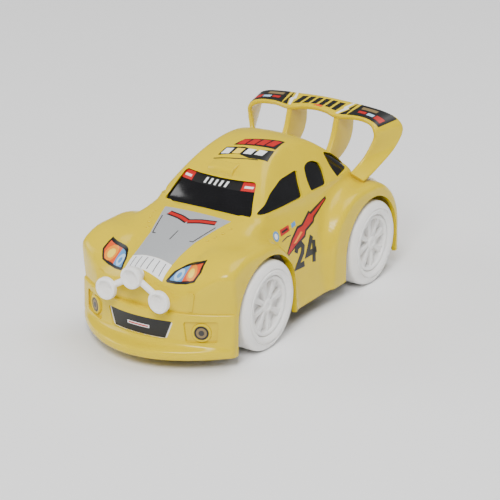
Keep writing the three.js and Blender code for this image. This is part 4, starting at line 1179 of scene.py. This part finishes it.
def door_rows(reading):
    """A door's flash, race number and small badges, in (y, z). `reading` is 1 on the left door and
    -1 on the right, so that the number reads forwards on both."""
    rows = [
        ("door_flash_black", "label_black", 0,
         [(-11, 33.2), (-4.9, 38.6), (1.4, 42.3), (5.0, 42.2), (12.4, 45.9), (13.2, 45.0), (27.4, 47.9)],
         [(-9, 32.6), (-2, 34.8), (5.6, 36.4), (7.4, 38.5), (14.0, 40.3), (15.4, 41.8), (27.4, 46.6)]),
        ("door_flash_red", "label_red", 1,
         [(-9.6, 33.6), (-4.5, 37.8), (1.6, 41.3), (5.4, 41.3), (12.4, 44.8), (13.2, 43.9), (26.2, 47.1)],
         [(-8.6, 33.3), (-2, 35.6), (5.0, 37.4), (6.6, 39.4), (13.4, 41.2), (14.6, 42.7), (26.4, 46.7)]),
        ("door_flash_amber", "label_amber", 2, [(-4, 36.4), (3, 39.6)], [(-2, 36.2), (4.2, 39.0)]),
    ]
    for offset, path in (
            (-3.4, [(-1.6, 32.2), (-0.6, 34.3), (2.6, 34.8), (4.2, 33.2), (3.6, 30.8), (-0.9, 26.0),
                    (5.0, 25.8)]),
            (5.4, [(2.6, 35.6), (-1.2, 28.9), (6.2, 28.9)]),
            (5.4, [(4.1, 33.4), (4.1, 24.2)])):
        slanted = [(NUMBER_Y + reading * (y + offset + (z - NUMBER_FOOT_Z) * NUMBER_SLANT - NUMBER_Y), z)
                   for y, z in path]
        rows.append(("race_number", "label_black", 2, *stroke(slanted, 2.5)))
    rows += [
        ("door_disc", "label_blue", 0, *disc_edges((-15.0, 42.8), 2.1)),
        ("door_disc_ring", "label_white", 1, *disc_edges((-15.0, 42.8), 1.2)),
        ("door_patch", "label_red", 0, [(-11.6, 41.8), (-4.6, 42.2)], [(-11.4, 44.4), (-4.4, 44.6)]),
        ("door_patch_mark", "label_black", 1, *stroke([(-10.4, 43.1), (-5.8, 43.4)], 0.8)),
        ("door_patch_small", "label_blue", 0, [(-2.6, 42.6), (0.6, 43.0)], [(-2.4, 44.4), (0.8, 44.8)]),
        ("door_line", "label_charcoal", 0, *stroke([(-11.6, 39.6), (-7.4, 40.4), (-4.6, 40.2)], 0.45)),
    ]
    return rows


def door_labels():
    """The door graphics on both sides; the number keeps its reading direction on each."""
    made = []
    for side, reading in (("left", 1), ("right", -1)):
        rows = [(f"{name}_{side}", *rest) for name, *rest in door_rows(reading)]
        made += label_set(rows, lambda grid, lift, side=side: laid_on(grid, side, lift))
    return made


def headlight_labels():
    """Almond lamps: a black surround, a blue lens inboard and an amber and red lens outboard."""
    rows = mirrored([
        ("headlight_black", "label_black", 0,
         [(11.0, 36.7), (12.2, 39.6), (15.0, 41.4), (19.5, 43.3), (23.9, 44.8)],
         [(11.7, 36.1), (15.5, 35.8), (19.6, 36.3), (23.3, 37.7), (24.9, 41.4)]),
        ("headlight_blue", "label_blue", 1, [(12.2, 37.2), (13.2, 39.3), (15.2, 40.7), (17.4, 41.6)],
         [(12.6, 36.9), (15.2, 36.7), (16.8, 36.8), (17.4, 37.0)]),
        ("headlight_orange", "label_orange", 1, [(17.4, 41.6), (20.2, 42.7), (23.3, 43.9)],
         [(17.4, 37.0), (22.5, 38.2), (23.9, 41.2)]),
        ("headlight_glass", "label_pale_blue", 2, *disc_edges((15.0, 38.6), 1.7)),
        ("headlight_glass_centre", "label_blue", 3, *disc_edges((15.0, 38.6), 0.8)),
        ("headlight_amber", "label_amber", 2, *disc_edges((20.5, 40.2), 2.5)),
        ("headlight_centre", "label_yellow", 3, *disc_edges((20.3, 40.2), 1.5)),
    ])
    return label_set(rows, lambda grid, lift: laid_on(grid, "back", lift))


FOG_RINGS = (
    ("ring", "label_black", 3.0), ("disc", "label_bronze", 2.2), ("centre", "label_charcoal", 1.2))


def bumper_labels():
    """The grille label with a thin pale border and a plain bar, and the two lamp rings."""
    border = np.array(GRILLE)
    inner = shrunk(border, 0.8)
    rows = [
        ("grille_border", "label_white", 0, [border[3], border[2]], [border[0], border[1]]),
        ("grille_black", "label_black", 1, [inner[3], inner[2]], [inner[0], inner[1]]),
        ("grille_bar", "label_white", 2, *stroke([(-5.5, 16.6), (5.5, 16.6)], 1.3)),
        ("grille_bar_red", "label_red", 3, *stroke([(-4.9, 16.6), (4.9, 16.6)], 0.6)),
    ]
    made = label_set(rows, lambda grid, lift: laid_on_bumper(grid, GRILLE_DEPTH, lift))
    for side, word in ((1, "left"), (-1, "right")):
        for number, (part, ink, radius) in enumerate(FOG_RINGS):
            near, far = 0.22 - 0.07 * number, 0.5
            plate = [(0.3, near), (radius, near), (radius, far), (0.3, far)]
            disc = on_lamp_pocket(turned(f"fog_{part}_{word}", plate, (0, 0, 0), "Y", 40), side)
            made.append(finish_piece(disc, finish_named(ink)))
    return made


def flipped(points, side):
    """Points with their first coordinate on the given side."""
    return [(side * u, v) for u, v in points]


WING_ENDS = [
    ("wing_patch", "label_black", 0, [(0.28, -0.43), (0.46, -0.42), (0.55, -0.36)],
     [(0.3, 0.43), (0.46, 0.43), (0.55, 0.42)]),
    ("wing_patch_pale", "label_bronze", 1, [(0.32, 0.1), (0.42, 0.1)], [(0.32, 0.28), (0.42, 0.28)]),
    ("wing_patch_red", "label_red", 1, [(0.44, -0.25), (0.52, -0.25)], [(0.44, 0.0), (0.52, 0.0)]),
    ("wing_patch_red", "label_red", 1, [(0.32, -0.2), (0.37, -0.2)], [(0.32, -0.04), (0.37, -0.04)]),
    ("wing_patch_blue", "label_pale_blue", 1, [(0.38, -0.22), (0.43, -0.22)],
     [(0.38, -0.05), (0.43, -0.05)]),
    ("wing_bolt", "label_white", 0, [(0.215, -0.42), (0.235, -0.02), (0.225, 0.03), (0.25, 0.42)],
     [(0.23, -0.42), (0.262, 0.02), (0.247, 0.06), (0.262, 0.42)]),
    ("wing_bolt_dark", "label_black", 0, [(0.24, -0.42), (0.266, -0.05), (0.258, 0.0), (0.276, 0.42)],
     [(0.275, -0.42), (0.275, -0.05), (0.275, 0.0), (0.28, 0.42)]),
]


def wing_labels():
    """Black end patches, pale zigzags and slanted black bars with a small orange mark."""
    rows = []
    for number in range(6):
        u = -0.2 + 0.072 * number
        rows.append(("wing_bars", "label_black", 0, [(u - 0.012, -0.3), (u + 0.036, -0.28)],
                     [(u + 0.002, 0.26), (u + 0.05, 0.28)]))
    rows.append(("wing_mark", "label_orange", 1, [(-0.03, -0.4), (0.05, -0.42)],
                 [(-0.01, -0.3), (0.06, -0.32)]))
    for side in (1, -1):
        for name, finish, layer, edge_a, edge_b in WING_ENDS:
            rows.append((name, finish, layer, flipped(edge_a, side), flipped(edge_b, side)))
    return label_set(rows, laid_on_wing)


# ------------------------------------------------------------------ kept parts

PLAIN_FINISHES = {
    "chassis_plate": "chassis_black", "motor_case_left": "motor_grey", "motor_case_right": "motor_grey",
    "axle_pinion": "gear_natural", "middle_gear": "gear_natural", "spring_gear": "gear_natural",
}


def paint_kept_parts():
    """Procedural finishes for the parts that keep their CAD form."""
    for name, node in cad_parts.items():
        if node.hide_render:
            continue
        node.data.materials.clear()
        node.data.materials.append(finish_named(PLAIN_FINISHES.get(name, "steel_wire")))


# ------------------------------------------------------------------ stage

FLOOR_REACH = 30000.0
FLOOR_DEPTH = 20
LIGHTS = (
    ("key", (0.7, -1.5, 1.8), 0.9, 62),
    ("fill", (-2.0, -0.9, 0.9), 1.2, 22),
    ("top", (0.5, 0.7, 1.9), 1.4, 26),
)
LIGHT_TARGET = Vector((0, 0, 0.03))
STUDIO_GLOW = 0.3
CAMERA_PLACE = (0.42344, -0.63343, 0.32547)
CAMERA_TARGET = Vector((0.000842, 0.009782, 0.022227))
CAMERA_LENS = 134.47


def aimed(obj, place, target):
    """Sets an object down at a place, facing a target."""
    obj.location = place
    obj.rotation_euler = (target - Vector(place)).to_track_quat("-Z", "Y").to_euler()
    bpy.context.scene.collection.objects.link(obj)
    return obj


def build_floor():
    """A wide pale slab whose top is the ground."""
    r = FLOOR_REACH
    outline = np.array([(-r, -r), (r, -r), (r, r), (-r, r)])
    floor = prism("floor", outline, -FLOOR_DEPTH, 0, upright)
    material, _, _, shader = new_material("floor_paper")
    shader.inputs["Base Color"].default_value = (0.9, 0.9, 0.9, 1)
    shader.inputs["Roughness"].default_value = 0.7
    shader.inputs["Specular IOR Level"].default_value = 0.2
    floor.data.materials.append(material)
    return floor


def build_stage():
    """A pale floor, soft lights and the camera."""
    scene = bpy.context.scene
    made = [build_floor()]
    for name, place, size, power in LIGHTS:
        data = bpy.data.lights.new(name, "AREA")
        data.shape = "SQUARE"
        data.size = size
        data.energy = power
        made.append(aimed(bpy.data.objects.new(name, data), place, LIGHT_TARGET))
    world = bpy.data.worlds.new("studio")
    world.use_nodes = True
    world.node_tree.nodes["Background"].inputs["Color"].default_value = (1, 1, 1, 1)
    world.node_tree.nodes["Background"].inputs["Strength"].default_value = STUDIO_GLOW
    scene.world = world
    data = bpy.data.cameras.new("camera")
    data.lens = CAMERA_LENS
    data.sensor_width = 36
    scene.camera = aimed(bpy.data.objects.new("camera", data), CAMERA_PLACE, CAMERA_TARGET)


# ------------------------------------------------------------------ add-on

def require_closed(pieces):
    """Stops the operator when a piece has no faces or has an edge without two faces."""
    for obj in pieces:
        mesh = obj.data
        edge_of_corner = np.empty(len(mesh.loops), np.int32)
        mesh.loops.foreach_get("edge_index", edge_of_corner)
        uses = np.bincount(edge_of_corner, minlength=len(mesh.edges))
        if len(mesh.polygons) == 0 or (uses != 2).any():
            raise RuntimeError(f"{obj.name} is not closed: {int((uses != 2).sum())} open edges")


class TOYCAR_OT_body(bpy.types.Operator):
    """Build the moulded body shell"""
    bl_idname = "toycar.body"
    bl_label = "Body shell"

    def execute(self, context):
        require_closed([build_body_shell()])
        return {"FINISHED"}


class TOYCAR_OT_glazing(bpy.types.Operator):
    """Build the black window liner"""
    bl_idname = "toycar.glazing"
    bl_label = "Glazing"

    def execute(self, context):
        require_closed([build_glazing()])
        return {"FINISHED"}


class TOYCAR_OT_wing(bpy.types.Operator):
    """Build the rear wing and its struts"""
    bl_idname = "toycar.wing"
    bl_label = "Rear wing"

    def execute(self, context):
        require_closed([build_wing()])
        return {"FINISHED"}


class TOYCAR_OT_lamps(bpy.types.Operator):
    """Build the lamp bar"""
    bl_idname = "toycar.lamps"
    bl_label = "Lamp bar"

    def execute(self, context):
        require_closed([build_lamps()])
        return {"FINISHED"}


class TOYCAR_OT_wheels(bpy.types.Operator):
    """Build the four tyres and rims"""
    bl_idname = "toycar.wheels"
    bl_label = "Wheels"

    def execute(self, context):
        require_closed(build_wheels())
        return {"FINISHED"}


class TOYCAR_OT_labels(bpy.types.Operator):
    """Lay the vinyl labels on the body, the windows, the bumper and the wing"""
    bl_idname = "toycar.labels"
    bl_label = "Labels"

    def execute(self, context):
        for build in (bonnet_labels, windscreen_labels, roof_label, door_labels,
                      headlight_labels, bumper_labels, wing_labels):
            require_closed(build())
        return {"FINISHED"}


class TOYCAR_OT_kept(bpy.types.Operator):
    """Paint the parts that keep their CAD form"""
    bl_idname = "toycar.kept"
    bl_label = "Chassis, axles and motor"

    def execute(self, context):
        paint_kept_parts()
        return {"FINISHED"}


class TOYCAR_OT_stage(bpy.types.Operator):
    """Build the floor, the lights and the camera"""
    bl_idname = "toycar.stage"
    bl_label = "Stage"

    def execute(self, context):
        build_stage()
        return {"FINISHED"}


OPERATORS = (TOYCAR_OT_body, TOYCAR_OT_glazing, TOYCAR_OT_wing, TOYCAR_OT_lamps, TOYCAR_OT_wheels,
             TOYCAR_OT_labels, TOYCAR_OT_kept, TOYCAR_OT_stage)


class TOYCAR_PT_panel(bpy.types.Panel):
    """Settings and build steps of the toy car"""
    bl_idname = "TOYCAR_PT_panel"
    bl_label = "Toy Car"
    bl_space_type = "VIEW_3D"
    bl_region_type = "UI"
    bl_category = "Toy Car"

    def draw(self, context):
        layout = self.layout
        for group in (context.scene.toy_car_sizes, context.scene.toy_car_colours):
            column = layout.column()
            for prop in type(group).__annotations__:
                column.prop(group, prop)
        for operator in OPERATORS:
            layout.operator(operator.bl_idname)


CLASSES = (ToyCarSizes, ToyCarColours, *OPERATORS, TOYCAR_PT_panel)


def register():
    """Adds the classes and the scene's settings."""
    for cls in CLASSES:
        bpy.utils.register_class(cls)
    bpy.types.Scene.toy_car_sizes = bpy.props.PointerProperty(type=ToyCarSizes)
    bpy.types.Scene.toy_car_colours = bpy.props.PointerProperty(type=ToyCarColours)


def unregister():
    """Takes the scene's settings and the classes away again."""
    del bpy.types.Scene.toy_car_colours
    del bpy.types.Scene.toy_car_sizes
    for cls in reversed(CLASSES):
        bpy.utils.unregister_class(cls)


def main():
    register()
    bpy.ops.toycar.body()
    bpy.ops.toycar.glazing()
    bpy.ops.toycar.wing()
    bpy.ops.toycar.lamps()
    bpy.ops.toycar.wheels()
    bpy.ops.toycar.labels()
    bpy.ops.toycar.kept()
    bpy.ops.toycar.stage()


if __name__ == "__main__":
    main()
